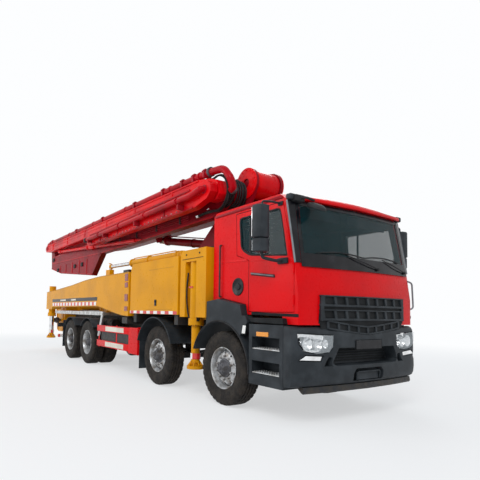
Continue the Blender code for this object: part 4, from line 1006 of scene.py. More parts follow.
def make_body():
    for side in ("right", "left"):
        keep_shape(f"side_box_{side}", f"side_box_skin_{side}", "truck", YELLOW, 0.010)
        keep_shape(f"front_outrigger_{side}", f"front_outrigger_skin_{side}", f"front_outrigger_{side}",
                   YELLOW)
        keep_shape(f"rear_outrigger_{side}", f"rear_outrigger_skin_{side}", f"rear_outrigger_{side}",
                   YELLOW)
    keep_shape("outrigger_box", "outrigger_box_skin", "truck", YELLOW)
    # The locker grooves and the arm seams below are coloured with the darker yellow, as painted shade in the
    # grooves and along the seams
    groove = joined([block((-1.2525, 1.28, 2.075), (-1.2495, 2.20, 2.081)),
                     block((-1.2525, 1.32, 1.352), (-1.2495, 2.30, 1.357))])
    both(groove, "locker_groove_{}", "truck", YELLOW_SEAM_SHADE)
    latch = joined([block((-1.262, 1.88, 1.42), (-1.249, 1.95, 1.53), 0.006, 2),
                    round_bar((-1.26, 1.915, 1.50), (-1.272, 1.915, 1.50), 0.018, 12)])
    both(latch, "locker_latch_{}", "truck", GLOSS_BLACK, 40)
    taped([(1.16, 1.275), (2.99, 1.275), (2.99, 1.328), (1.16, 1.328)], -1.250, "box_tape_{}", "truck")
    taped([(4.92, 1.437), (8.70, 1.432), (8.70, 1.520), (4.92, 1.522)], -1.250, "arm_tape_{}",
          "rear_outrigger_{}")
    taped([(4.86, 1.548), (8.74, 1.548), (8.74, 1.635), (4.86, 1.635)], -1.250, "arm_dark_strip_{}",
          "rear_outrigger_{}", GLOSS_BLACK)
    pale = joined([block((-1.2545, y, 1.572), (-1.2525, y + w, 1.612)) for y,
                   w in ((6.45, 0.42), (7.35, 0.52))])
    both(pale, "arm_pale_panel_{}", "rear_outrigger_{}", PALE)
    flange = pipe([(-1.248, y, z) for y, z in ((3.10, 2.108), (4.72, 2.108), (5.77, 2.068), (6.83, 1.988),
                                               (8.18, 1.918), (9.43, 1.865))],
                  0.009, rings=2)
    both(flange, "arm_top_seam_{}", "rear_outrigger_{}", YELLOW_SEAM_SHADE)
    under = pipe([(-1.248, y, z) for y, z in ((3.10, 1.218), (3.44, 1.233), (3.76, 1.271), (4.345, 1.354),
                                              (4.79, 1.421), (8.72, 1.402))],
                 0.008, rings=2)
    both(under, "arm_lower_seam_{}", "rear_outrigger_{}", YELLOW_SEAM_SHADE)
    lamps = joined([block((-1.262, 3.12, z), (-1.249, 3.27, z + h), 0.004) for z,
                    h in ((1.93, 0.15), (1.80, 0.10), (1.52, 0.14), (1.32, 0.09))])
    both(lamps, "joint_reflectors_{}", "rear_outrigger_{}", DARK_RED_LENS)
    post = joined([block((-1.2535, 0.40, 2.16), (-1.2495, 1.00, 2.168)),
                   round_bar((-1.254, 0.50, 2.235), (-1.249, 0.50, 2.235), 0.016, 16),
                   round_bar((-1.254, 0.88, 2.235), (-1.249, 0.88, 2.235), 0.016, 16)])
    both(post, "post_seam_{}", "front_outrigger_{}", DEEP_BLACK)
    both(block((-1.243, 0.695, 1.70), (-1.232, 0.805, 1.725), 0.003), "post_red_bar_{}",
         "front_outrigger_{}", TAIL_RED)
    hoses = []
    for i, x in enumerate((-1.20, -1.17)):
        hoses.append(pipe([(x, 0.62, 2.02), (x - 0.02, 0.605, 1.70), (x, 0.61, 1.40),
                           (x + 0.01, 0.63, 1.18)], 0.012, soft=True, rings=2))
    hoses.append(pipe([(-1.21, 0.88, 1.95), (-1.225, 0.895, 1.65), (-1.21, 0.885, 1.35),
                       (-1.19, 0.86, 1.20)], 0.012, soft=True, rings=2))
    both(joined(hoses), "post_hoses_{}", "front_outrigger_{}", TRIM_RUBBER, 50)


def make_jacks():
    """Collars on the tubes, and on each leg the banded block and the foot with its ribs."""
    for end, y in (("front", 0.75), ("rear", 9.20)):
        tube_low = 1.12
        collar = turned([(tube_low - 0.004, 0.072), (tube_low - 0.004, 0.125), (tube_low + 0.045, 0.125),
                         (tube_low + 0.045, 0.112),
                         (tube_low + 0.10, 0.112), (tube_low + 0.10, 0.1065), (tube_low + 0.02, 0.1065),
                         (tube_low + 0.02, 0.072)],
                        (-1.13, y, 0), "Z", 32)
        bolts = around(round_bar((-1.13, y - 0.112, tube_low - 0.014), (-1.13, y - 0.112, tube_low),
                                 0.011, 6), 8, (-1.13, y, 0), "Z")
        both(joined([collar, bolts]), f"{end}_jack_collar_{{}}", f"{end}_outrigger_{{}}", YELLOW,
             40)
        for side in ("right", "left"):
            keep_shape(f"{end}_jack_leg_{side}", f"{end}_jack_skin_{side}", f"{end}_jack_leg_{side}",
                       YELLOW, 0.003)
        band = turned([(0.585, 0.0705), (0.585, 0.082), (0.675, 0.082), (0.675, 0.0705)], (-1.13, y, 0),
                      "Z", 28)
        both(band, f"{end}_jack_band_{{}}", f"{end}_jack_leg_{{}}", TAPE, 40)
        shine = turned([(0.68, 0.0702), (0.68, 0.0712), (1.11, 0.0712), (1.11, 0.0702)], (-1.13, y, 0),
                       "Z", 28)
        both(shine, f"{end}_jack_ram_{{}}", f"{end}_jack_leg_{{}}", CHROME if end == "rear" else YELLOW,
             40)
        ribs = around(slab([(-1.13 + 0.072, 0.485), (-1.13 + 0.125, 0.485), (-1.13 + 0.072, 0.56)],
                           y - 0.006, y + 0.006, "Y"),
                      8, (-1.13, y, 0), "Z")
        both(ribs, f"{end}_jack_ribs_{{}}", f"{end}_jack_leg_{{}}", YELLOW, 30)


def make_swing_cylinders():
    for side in ("right", "left"):
        keep_shape(f"swing_barrel_{side}", f"swing_barrel_skin_{side}", f"swing_barrel_{side}", YELLOW,
                   0.005)
        keep_shape(f"swing_rod_{side}", f"swing_rod_skin_{side}", f"swing_rod_{side}", CHROME,
                   0.004)
    foot, eye = Vector((-0.85, 1.65, 2.35)), Vector((-1.02, 4.70, 2.35))
    way = (eye - foot).normalized()
    rings = [round_bar(foot + way * a, foot + way * (a + 0.06), 0.090, 20, edge=0.006)
             for a in (0.12, 1.15, 1.86)]
    lines = [pipe([foot + way * 0.20 + Vector((0, 0, 0.080)), foot + way * 0.24 + Vector((0, 0, 0.098)),
                   foot + way * 1.80 + Vector((0, 0, 0.098)), foot + way * 1.88 + Vector((0, 0, 0.085))],
                  0.011, rings=2)]
    both(joined(rings + lines), "swing_collars_{}", "swing_barrel_{}", YELLOW, 40)
    nut = joined([round_bar(eye + Vector((0, 0, -0.078)), eye + Vector((0, 0, 0.085)), 0.035, 16,
                            edge=0.004),
                  round_bar(eye - way * 0.12, eye - way * 0.05, 0.052, 18, edge=0.004)])
    both(nut, "swing_eye_pin_{}", "swing_rod_{}", YELLOW, 40)


def make_side_gear():
    """Mudguard, locker, guard rails, long beam and stays between the axles."""
    y2 = AXLES[2]
    ring = [(y2 + 0.69 * cos(radians(a)), WHEEL_Z + 0.69 * sin(radians(a))) for a in range(20, 159, 6)] + \
           [(y2 + 0.672 * cos(radians(a)), WHEEL_Z + 0.672 * sin(radians(a))) for a in range(158, 19, -6)]
    guard = joined([slab(ring, -1.24, -0.63), pipe([(-1.240, y2 + 0.681 * cos(radians(a)),
                                                     WHEEL_Z + 0.681 * sin(radians(a)))
                                                    for a in range(20, 159, 6)], 0.012, rings=2),
                    block((-1.20, y2 + 0.637, 0.22), (-0.64, y2 + 0.647, 0.78), 0.002),
                    block((-0.66, y2 - 0.04, 1.02), (-0.462, y2 + 0.04, 1.16), 0.01)])
    both(guard, "second_mudguard_{}", "truck", PLASTIC, 40, "side_guard_{}")
    locker = joined([block((-1.185, 2.92, 0.55), (-0.62, 4.70, 0.955), 0.02, 2),
                     block((-0.70, 3.42, 0.84), (-0.462, 4.28, 0.94), 0.004),
                     block((-1.192, 2.98, 0.60), (-1.180, 3.78, 0.90), 0.006),
                     block((-1.192, 3.84, 0.60), (-1.180, 4.64, 0.90), 0.006)])
    both(locker, "low_locker_{}", "truck", BLACK, 40)
    rails = [block((-1.222, 2.70, z), (-1.196, 4.88, z + 0.14), 0.006, 2) for z in (0.50, 0.84)]
    rails += [block((-1.222, 2.68, 0.46), (-0.96, 2.71, 1.00), 0.006),
              block((-1.223, 2.69, 0.47), (-1.200, 3.10, 0.99), 0.006)]
    rails += [block((-1.198, y, 0.48), (-1.186, y + 0.05, 1.00), 0.003) for y in (3.75, 4.78)]
    both(joined(rails), "guard_rails_{}", "truck", RED, 40)
    strips = [block((-1.2245, 3.35, z + 0.02), (-1.221, 4.35, z + 0.12)) for z in (0.50, 0.84)]
    both(joined(strips), "guard_tape_{}", "truck", PALE)
    beam = joined([block((-1.212, 4.60, 1.205), (-1.150, 8.50, 1.295), 0.004),
                   block((-1.214, 4.64, 1.228), (-1.208, 8.46, 1.238)),
                   block((-1.214, 4.64, 1.262), (-1.208, 8.46, 1.272)),
                   slab([(4.60, 1.22), (4.70, 1.22), (4.90, 0.72), (4.80, 0.72)], -1.205, -1.175,
                        edge=0.003),
                   block((-1.17, 4.62, 1.215), (-0.602, 4.69, 1.275), 0.003),
                   block((-1.17, 8.40, 1.215), (-0.602, 8.47, 1.275), 0.003)])
    both(beam, "long_beam_{}", "truck", ALUMINIUM, 40)
    tank = joined([turned([(5.02, 0), (5.02, 0.11), (5.05, 0.13), (5.45, 0.13), (5.48, 0.11), (5.48, 0)],
                          (-0.75, 0, 0.98), "Y", 28)])
    tank.data.transform(Matrix.Translation((0, -0.14, 0.02)))
    hoops = joined([turned([(y, 0.131), (y, 0.136), (y + 0.03, 0.136), (y + 0.03, 0.131)],
                           (-0.75, -0.14, 1.00), "Y", 28) for y in (5.12, 5.35)]
                   + [block((-0.65, 4.99, 0.96), (-0.462, 5.02, 1.04)),
                      block((-0.65, 5.22, 0.96), (-0.462, 5.25, 1.04))])
    both(joined([tank, hoops]), "air_tank_{}", "truck", BLACK, 40)
    rear_guard = []
    for y in (AXLES[3], AXLES[4]):
        arch = [(y + 0.60 * cos(radians(a)), WHEEL_Z + 0.60 * sin(radians(a)))
                for a in range(40, 141, 10)] + \
               [(y + 0.588 * cos(radians(a)), WHEEL_Z + 0.588 * sin(radians(a)))
                for a in range(140, 39, -10)]
        rear_guard.append(slab(arch, -1.235, -0.56))
        rear_guard.append(round_bar((-0.60, y, 1.115), (-0.462, y, 1.00), 0.018, 10))
    rear_guard.append(block((-1.22, 7.62, 0.28), (-0.60, 7.63, 1.02)))
    rear_guard.append(round_bar((-1.20, 7.64, 1.01), (-0.462, 7.64, 1.01), 0.016, 10))
    both(joined(rear_guard), "rear_mudguards_{}", "truck", PLASTIC, 40)


make_wheels()
make_cab_skin()
make_glass()
make_pillars()
make_roof()
make_grille()
make_bumper()
make_headlamps()
make_mirrors()
make_door_trim()
make_wipers()
make_interior()
make_fenders()
make_body()
make_jacks()
make_swing_cylinders()
make_side_gear()


# ------------------------------------------------------------ placing boom
# each arm's lane across the truck, and the line of its upper and lower edge (y, z)
ARMS = {
    "arm_1": ((-0.085, 0.325), [(0.90, 3.74), (2.50, 3.78), (11.38, 3.72)],
              [(2.30, 3.14), (6.60, 3.10), (10.60, 3.34)]),
    "arm_2": ((-0.390, -0.190), [(1.60, 3.66), (11.28, 3.68)], [(1.02, 3.16), (10.90, 3.28)]),
    "arm_3": ((-0.570, -0.410), [(1.60, 3.34), (11.18, 3.26)], [(1.12, 2.98), (6.48, 2.90)]),
    "arm_4": ((-0.780, -0.590), [(1.30, 3.655), (11.50, 3.668)], [(1.22, 3.382), (10.90, 3.40)]),
    "arm_5": ((-0.945, -0.800), [(1.30, 3.46), (6.38, 3.36)], [(1.20, 3.10), (6.38, 3.06)]),
}
FLANGE = 0.007


SUNK = 0.001  # how far a strip goes into the face it is welded to
SPRING_SAG = 0.075


def edge_strip(line, drop, low, high):
    """A flat bar along an arm's edge, drop being its depth below the line (or above it, negative)."""
    return slab(line + [(y, z - drop) for y, z in reversed(line)], low, high, edge=0.002)


def arm_edges(name, outer=FLANGE):
    (low, high), top, bottom = ARMS[name]
    strips = []
    for face, out in ((low, -outer), (high, FLANGE)):
        sunk = face - math.copysign(SUNK, out)
        a, b = sorted((sunk, face + out))
        strips += [edge_strip(top, 0.032, a, b), edge_strip(bottom, -0.032, a, b)]
    return strips


def cross_ribs(name, plane, thick, count):
    """Upright stiffeners on an arm's outer face, spread between its ends."""
    _, top, bottom = ARMS[name]
    first, last = top[0][0] + 0.9, top[-1][0] - 0.8
    ribs = []
    for i in range(count):
        y = first + (last - first) * i / (count - 1)
        z0, z1 = between(bottom, y), between(top, y)
        ribs.append(slab([(y, z0 + 0.03), (y + 0.05, z0 + 0.03), (y + 0.05, z1 - 0.03), (y, z1 - 0.03)],
                         plane - thick, plane + 0.001))
    return ribs


def pin_ends(centre, x, radius=0.085, out=-1):
    """The cap and its bolts at the end of a hinge pin."""
    y, z = centre
    cap = turned([(0, 0), (0, radius * 1.25), (out * 0.008, radius * 1.25), (out * 0.008, radius),
                  (out * 0.014, radius * 0.96),
                  (out * 0.014, 0)], (x, y, z), "X", 28)
    bolts = around(round_bar((x + out * 0.012, y, z + radius * 0.66),
                             (x + out * 0.019, y, z + radius * 0.66), 0.011, 6), 6, (x, y, z))
    return joined([cap, bolts])


def make_arm_4():
    """The top arm: its box, and the delivery pipe that runs on it under clamps to the gooseneck."""
    outline = [(0.66, 3.28), (0.74, 3.20), (0.98, 3.20), (1.20, 3.38), (10.9, 3.40), (11.60, 3.44),
               (11.72, 3.54),
               (11.70, 3.62), (11.55, 3.67), (1.30, 3.655), (0.95, 3.60), (0.72, 3.52)]
    box = slab(outline, -0.780, -0.590, edge=0.006, segments=2)
    axle = round_bar((-0.80, 0.86, 3.36), (-0.95, 0.86, 3.36), 0.0495, 20)
    face = arm_edges("arm_4", 0.012) + cross_ribs("arm_4", -0.780, 0.010, 6)
    line = slab([(1.6, 3.525), (10.6, 3.545), (10.6, 3.560), (1.6, 3.540)], -0.788, -0.779)
    done(joined([box, axle, line, *face]), "arm_4_box", "arm_4", BOOM_PAINTED_LIGHT, 34, ["arm_4"])
    path = rounded_route([(-0.715, 11.30, 3.735), (-0.715, 1.02, 3.735), (-0.715, 0.62, 3.70),
                          (-0.690, 0.47, 3.50),
                          (-0.620, 0.50, 3.36), (-0.600, 0.56, 3.34)], 0.16, 6)
    tube = pipe(path, 0.064, rings=4)
    tail = pipe(rounded_route([(-0.715, 11.28, 3.735), (-0.715, 11.50, 3.72), (-0.70, 11.62, 3.64),
                               (-0.66, 11.64, 3.58)], 0.10, 5),
                0.060, rings=4)
    rings = []
    for y in (11.10, 8.90, 6.70, 4.50, 2.35, 1.30):
        rings.append(turned([(y, 0.062), (y, 0.076), (y + 0.035, 0.076), (y + 0.035, 0.062)],
                            (-0.715, 0, 3.735), "Y", 24))
    done(joined([tube, tail, *rings]), "arm_4_pipe", "arm_4", BOOM_RED, 45)
    clamps = []
    for y in (10.85, 8.15, 5.95, 3.95, 2.60, 1.85, 1.45, 1.10):
        clamps.append(slab([(-0.800, 3.655), (-0.795, 3.79), (-0.765, 3.815), (-0.665, 3.815),
                            (-0.635, 3.79), (-0.630, 3.655)],
                           y, y + 0.05, "Y", 0.004))
        clamps.append(round_bar((-0.790, y - 0.02, 3.775), (-0.790, y + 0.07, 3.775), 0.012, 8))
    done(joined(clamps), "arm_4_clamps", "arm_4", DEEP_RED, 40)
    coupling = joined([turned([(0, 0.05), (0, 0.078), (0.03, 0.082), (0.06, 0.078), (0.06, 0.05)],
                              (-0.612, 0.545, 3.345), "X", 24),
                       turned([(0.98, 0.062), (0.98, 0.084), (1.03, 0.084), (1.03, 0.062)],
                              (-0.715, 0, 3.735), "Y", 24)])
    done(coupling, "arm_4_couplings", "arm_4", IRON, 45)
    done(pin_ends((11.50, 3.58), -0.781, 0.075), "arm_4_root_cap", "arm_4", DEEP_RED, 35)


def make_arm_5():
    keep_shape("arm_5", "arm_5_box", "arm_5", BOOM_PAINTED_LIGHT, 0.006)
    done(joined(arm_edges("arm_5", 0.014) + cross_ribs("arm_5", -0.945, 0.012, 4)), "arm_5_edges",
         "arm_5", BOOM_RED, 34)
    bolts = along(round_bar((-0.944, 1.55, 3.135), (-0.965, 1.55, 3.135), 0.012, 6), 26,
                  (0, 0.186, -0.0014))
    done(bolts, "arm_5_bolts", "arm_5", NUT_STEEL, 30)
    path = rounded_route([(-0.955, 0.86, 3.36), (-1.020, 0.86, 3.36), (-1.020, 1.15, 3.30),
                          (-1.020, 6.42, 3.215)], 0.10, 5)
    rings = [turned([(y, 0.05), (y, 0.066), (y + 0.03, 0.066), (y + 0.03, 0.05)],
                    (-1.020, 0, 3.30 - (y - 1.15) * 0.0161), "Y", 22) for y in (1.6, 2.9, 4.2, 5.5)]
    done(joined([pipe(path, 0.052, rings=4), *rings]), "arm_5_pipe", "arm_5", BOOM_RED, 45)
    clamps = [block((-1.075, y, 3.12), (-0.944, y + 0.045, 3.20 + 0.02 * (6 - y) / 6), 0.004)
              for y in (1.5, 3.3, 5.1, 6.2)]
    done(joined(clamps), "arm_5_clamps", "arm_5", DEEP_RED, 35)
    end = turned([(6.40, 0.035), (6.40, 0.064), (6.47, 0.068), (6.53, 0.064), (6.53, 0.046),
                  (6.45, 0.040)], (-1.020, 0, 3.214), "Y", 24)
    done(end, "arm_5_end_coupling", "arm_5", TRIM_RUBBER, 45)
    done(pin_ends((0.86, 3.36), -0.946, 0.06), "arm_5_root_cap", "arm_5", DEEP_RED, 35)


def nose_hoses(name, body, lanes, nose, reach):
    """Hoses that loop round an arm's front end, with steel fittings where they join the hard lines."""
    y, z = nose
    loops, ends = [], []
    for i, x in enumerate(lanes):
        r = reach + 0.012 * (i % 3)
        arc = [(x, y + r * cos(radians(a)), z + r * sin(radians(a))) for a in range(70, 291, 20)]
        route = [(x, y + r * 1.9, z + r * 0.93), *arc, (x, y + r * 2.1, z - r * 0.98)]
        loops.append(pipe(route, 0.0165, soft=True, rings=2, steps=3))
        for place, away in ((route[0], route[1]), (route[-1], route[-2])):
            a, b = Vector(place), Vector(away)
            ends.append(round_bar(a, a + (b - a).normalized() * 0.07, 0.020, 8))
    done(joined(loops), name, body, TRIM_RUBBER, 50)
    done(joined(ends), f"{name}_fittings", body, CHROME, 35)


def make_lower_arms():
    # arm_1 and arm_3 take the darker copy of the boom enamel, as painted shade
    for name, tone, width in (("arm_1", BOOM_PAINTED_SHADE, 0.008), ("arm_2", BOOM_RED, 0.006),
                              ("arm_3", BOOM_PAINTED_SHADE, 0.006)):
        keep_shape(name, f"{name}_box", name, tone, width)
        done(joined(arm_edges(name)), f"{name}_edges", name, BOOM_RED, 34)
    tail = [slab([(y, z), (y + 0.05, z), (y + 0.05, 2.86), (y, 2.86)], -0.582, -0.569) for y, z in
            ((7.65, 2.38), (8.35, 2.44), (9.05, 2.50), (9.75, 2.56), (10.4, 2.62))]
    tail.append(slab([(7.22, 2.35), (10.30, 2.60), (10.30, 2.63), (7.22, 2.38)], -0.582, -0.569))
    tail.append(slab([(6.55, 2.90), (11.50, 3.00), (11.50, 3.03), (6.55, 2.93)], -0.582, -0.569))
    tail.append(slab([(10.30, 2.58), (11.54, 2.82), (11.54, 2.85), (10.30, 2.61)], -0.582, -0.569))
    done(joined(tail), "arm_3_stiffeners", "arm_3", BOOM_RED, 34)
    pads = [block((-0.600, y, 2.66), (-0.571, y + 0.16, 2.78), 0.006) for y in (8.0, 8.7, 10.6)]
    pads += [block((-0.600, 11.18, 3.08), (-0.571, 11.40, 3.20), 0.006)]
    done(joined(pads), "arm_3_rest_pads", "arm_3", TRIM_RUBBER, 34)
    start, finish = Vector((-0.655, 10.20, 3.33)), Vector((-0.655, 4.10, 2.945))
    way = (finish - start).normalized()
    stem = [round_bar(start, finish, 0.046, 20),
            round_bar(start + way * 2.95, start + way * 3.45, 0.068, 20, edge=0.006),
            round_bar(start + way * 2.86, start + way * 2.95, 0.080, 20, edge=0.006),
            round_bar(start - way * 0.10, start + way * 0.16, 0.060, 18, edge=0.006),
            round_bar(start + Vector((-0.045, 0, 0)), start + Vector((0.084, 0, 0)), 0.055, 20, edge=0.004),
            round_bar(finish, finish + way * 0.30, 0.030, 14, 0.010),
            block((-0.66, 4.45, 2.93), (-0.571, 4.55, 3.02), 0.006),
            block((-0.66, 7.15, 3.10), (-0.571, 7.25, 3.20), 0.006)]
    done(joined(stem), "arm_3_long_tube", "arm_3", BOOM_PAINTED_LIGHT, 40)
    lines = [pipe([(-0.583, 1.9, z + 0.010), (-0.583, 6.4, z)], 0.011, rings=2)
             for z in (3.06, 3.10, 3.14, 3.18)]
    clips = along(block((-0.598, 2.2, 3.035), (-0.571, 2.26, 3.215), 0.003), 5, (0, 0.98, -0.002))
    done(joined(lines), "arm_3_hard_lines", "arm_3", DEEP_RED, 50)
    done(clips, "arm_3_line_clips", "arm_3", BLACK, 34)
    nose_hoses("arm_3_hoses", "arm_3", (-0.553, -0.516, -0.478, -0.441), (0.90, 3.36), 0.20)
    nose_hoses("arm_2_hoses", "arm_2", (-0.372, -0.330, -0.288, -0.246, -0.208), (0.90, 3.38), 0.225)
    nose_hoses("arm_4_hoses", "arm_4", (-0.640, -0.615), (0.92, 3.36), 0.30)


def make_turret_and_drum():
    # The turret, its slew ring and the lift cylinder take the darker copy of the boom enamel, as painted
    # shade under the arms
    keep_shape("turret", "turret_column", "turret", BOOM_PAINTED_SHADE, 0.006)
    ring = turned([(2.128, 0.40), (2.128, 0.545), (2.150, 0.560), (2.185, 0.560), (2.200, 0.540),
                   (2.200, 0.40)],
                  (0, 1.90, 0), "Z", 56)
    bolts = around(round_bar((0.50, 1.90, 2.198), (0.50, 1.90, 2.222), 0.016, 6), 30, (0, 1.90, 0), "Z")
    done(joined([ring, bolts]), "slew_ring", "turret", BOOM_PAINTED_SHADE, 34)
    drum = []
    for x, out in ((-0.176, -1), (0.416, 1)):
        drum.append(turned([(0, 0.08), (0, 0.264), (out * 0.008, 0.268), (out * 0.020, 0.268),
                            (out * 0.026, 0.258), (out * 0.026, 0.08)],
                           (x, 0.68, 3.55), "X", 48))
        drum.append(around(round_bar((x, 0.68, 3.775), (x + out * 0.036, 0.68, 3.775), 0.014, 6), 14,
                           (x, 0.68, 3.55)))
    done(joined(drum), "drum_flanges", "turret", BOOM_PAINTED_LIGHT, 34)
    shell = turned([(-0.130, 0.21), (-0.130, 0.238), (-0.118, 0.243), (-0.04, 0.243), (-0.035, 0.236),
                    (0.275, 0.236), (0.28, 0.243),
                    (0.360, 0.243), (0.368, 0.236), (0.368, 0.21)], (0, 0.68, 3.55), "X", 56)
    done(shell, "drum_shell", "arm_1", BOOM_PAINTED_LIGHT, 40)
    elbow = rounded_route([(0.44, 0.68, 3.55), (0.585, 0.68, 3.55), (0.60, 0.80, 3.30),
                           (0.60, 1.35, 2.75), (0.52, 1.75, 2.35),
                           (0.36, 1.88, 2.21)], 0.14, 6)
    collars = [turned([(0.43, 0.05), (0.43, 0.092), (0.47, 0.092), (0.47, 0.05)], (0, 0.68, 3.55), "X", 26),
               turned([(0.50, 0.05), (0.50, 0.080), (0.53, 0.080), (0.53, 0.05)], (0, 0.68, 3.55), "X", 26)]
    done(joined([pipe(elbow, 0.066, rings=4), *collars]), "riser_pipe", "turret", BOOM_RED, 45)
    keep_shape("lift_barrel", "lift_barrel_tube", "lift_barrel", BOOM_PAINTED_SHADE, 0.004)
    keep_shape("lift_rod", "lift_rod_bar", "lift_rod", CHROME, 0.003)
    foot, eye = Vector((0.12, 1.60, 2.60)), Vector((0.12, 4.20, 3.03))
    way = (eye - foot).normalized()
    gland = [round_bar(foot + way * a, foot + way * (a + w), r, 24, edge=0.005) for a, w, r in
             ((2.34, 0.085, 0.102), (0.10, 0.07, 0.100), (1.2, 0.05, 0.096))]
    gland[0] = cut(gland[0], round_bar(foot + way * 2.2, foot + way * 2.6, 0.062, 20))
    feed = pipe([foot + way * 0.16 + Vector((0, 0, 0.095)), foot + way * 0.22 + Vector((0, 0, 0.118)),
                 foot + way * 2.26 + Vector((0, 0, 0.118)), foot + way * 2.36 + Vector((0, 0, 0.098))],
                0.012, rings=2)
    done(joined([*gland, feed]), "lift_barrel_gland", "lift_barrel", BOOM_PAINTED_SHADE, 40)


# ------------------------------------------------------------ deck between cab and boom
def make_deck_gear():
    keep_shape("deck", "deck_frame", "truck", BLACK, 0.004)
    bank = [block((-0.78, 0.36, 1.802), (-0.28, 0.66, 2.02), 0.012, 2)]
    bank += [block((-0.74 + 0.075 * i, 0.34, 2.02), (-0.69 + 0.075 * i, 0.64, 2.11), 0.006)
             for i in range(6)]
    done(joined(bank), "valve_bank", "truck", IRON, 34)
    levers = [joined([round_bar((-0.715 + 0.075 * i, 0.40, 2.10), (-0.715 + 0.075 * i, 0.34, 2.26), 0.007,
                                8),
                      turned([(-0.016, 0), (-0.012, 0.012), (0, 0.017), (0.012, 0.012), (0.016, 0)],
                             (-0.715 + 0.075 * i, 0.335, 2.27), "Z", 12)]) for i in range(6)]
    done(joined(levers), "valve_levers", "truck", TRIM_RUBBER, 40)
    hoses = []
    for i in range(6):
        x = -0.74 + 0.08 * i
        hoses.append(pipe([(x, 0.60, 2.10), (x - 0.02, 0.68, 2.30 + 0.03 * (i % 3)),
                           (x, 0.95, 2.42 + 0.02 * (i % 2)),
                           (x * 0.72, 1.25, 2.32), (x * 0.55, 1.40, 2.16)], 0.016, soft=True, rings=2))
    done(joined(hoses), "valve_hoses", "truck", TRIM_RUBBER, 50)
    cylinder = joined([turned([(0.42, 0), (0.42, 0.07), (0.46, 0.095), (0.92, 0.095), (0.96, 0.07),
                               (0.96, 0)], (-0.50, 0, 2.50), "Y", 26)]
                      + [block((-0.56, y, 2.06), (-0.44, y + 0.03, 2.42), 0.003) for y in (0.50, 0.84)])
    done(cylinder, "accumulator", "truck", ALUMINIUM, 40)
    tank = joined([block((0.10, 0.36, 1.802), (0.80, 0.98, 2.36), 0.03, 3),
                   turned([(0, 0), (0, 0.06), (0.03, 0.06), (0.03, 0)],
                                                                             (0.62, 0.66, 2.36), "Z", 20)])
    done(tank, "oil_tank", "truck", BLACK, 40)
    fan = [block((0.79, 0.42, 1.90), (0.815, 0.92, 2.30), 0.004)] + [block((0.813, 0.44, 1.92 + 0.04 * i),
                                                                           (0.822, 0.90, 1.935 + 0.04 * i))
                                                                    for i in range(9)]
    done(joined(fan), "oil_cooler", "truck", IRON, 30)
    plates = [block((-0.655, 3.20, 1.222), (0.655, 4.40, 1.232)),
              block((-0.60, 4.45, 1.222), (0.60, 6.25, 1.230))]
    done(joined(plates), "walkway", "truck", ALUMINIUM, 30)
    water = joined([block((-0.55, 3.40, 1.235), (0.55, 4.30, 1.95), 0.05, 3),
                    turned([(0, 0), (0, 0.09), (0.035, 0.09), (0.035, 0)],
                                                                               (0.0, 3.85, 1.945), "Z",
                                                                                     24)])
    done(water, "water_tank", "truck", YELLOW, 40)
    rails = []
    for sign in (-1, 1):
        rails.append(pipe(rounded_route([(sign * 0.62, 5.0, 1.22), (sign * 0.62, 5.0, 1.80),
                                         (sign * 0.62, 6.2, 1.80),
                                         (sign * 0.62, 6.2, 1.22)], 0.08), 0.016, rings=2))
    done(joined(rails), "deck_rails", "truck", YELLOW, 45)


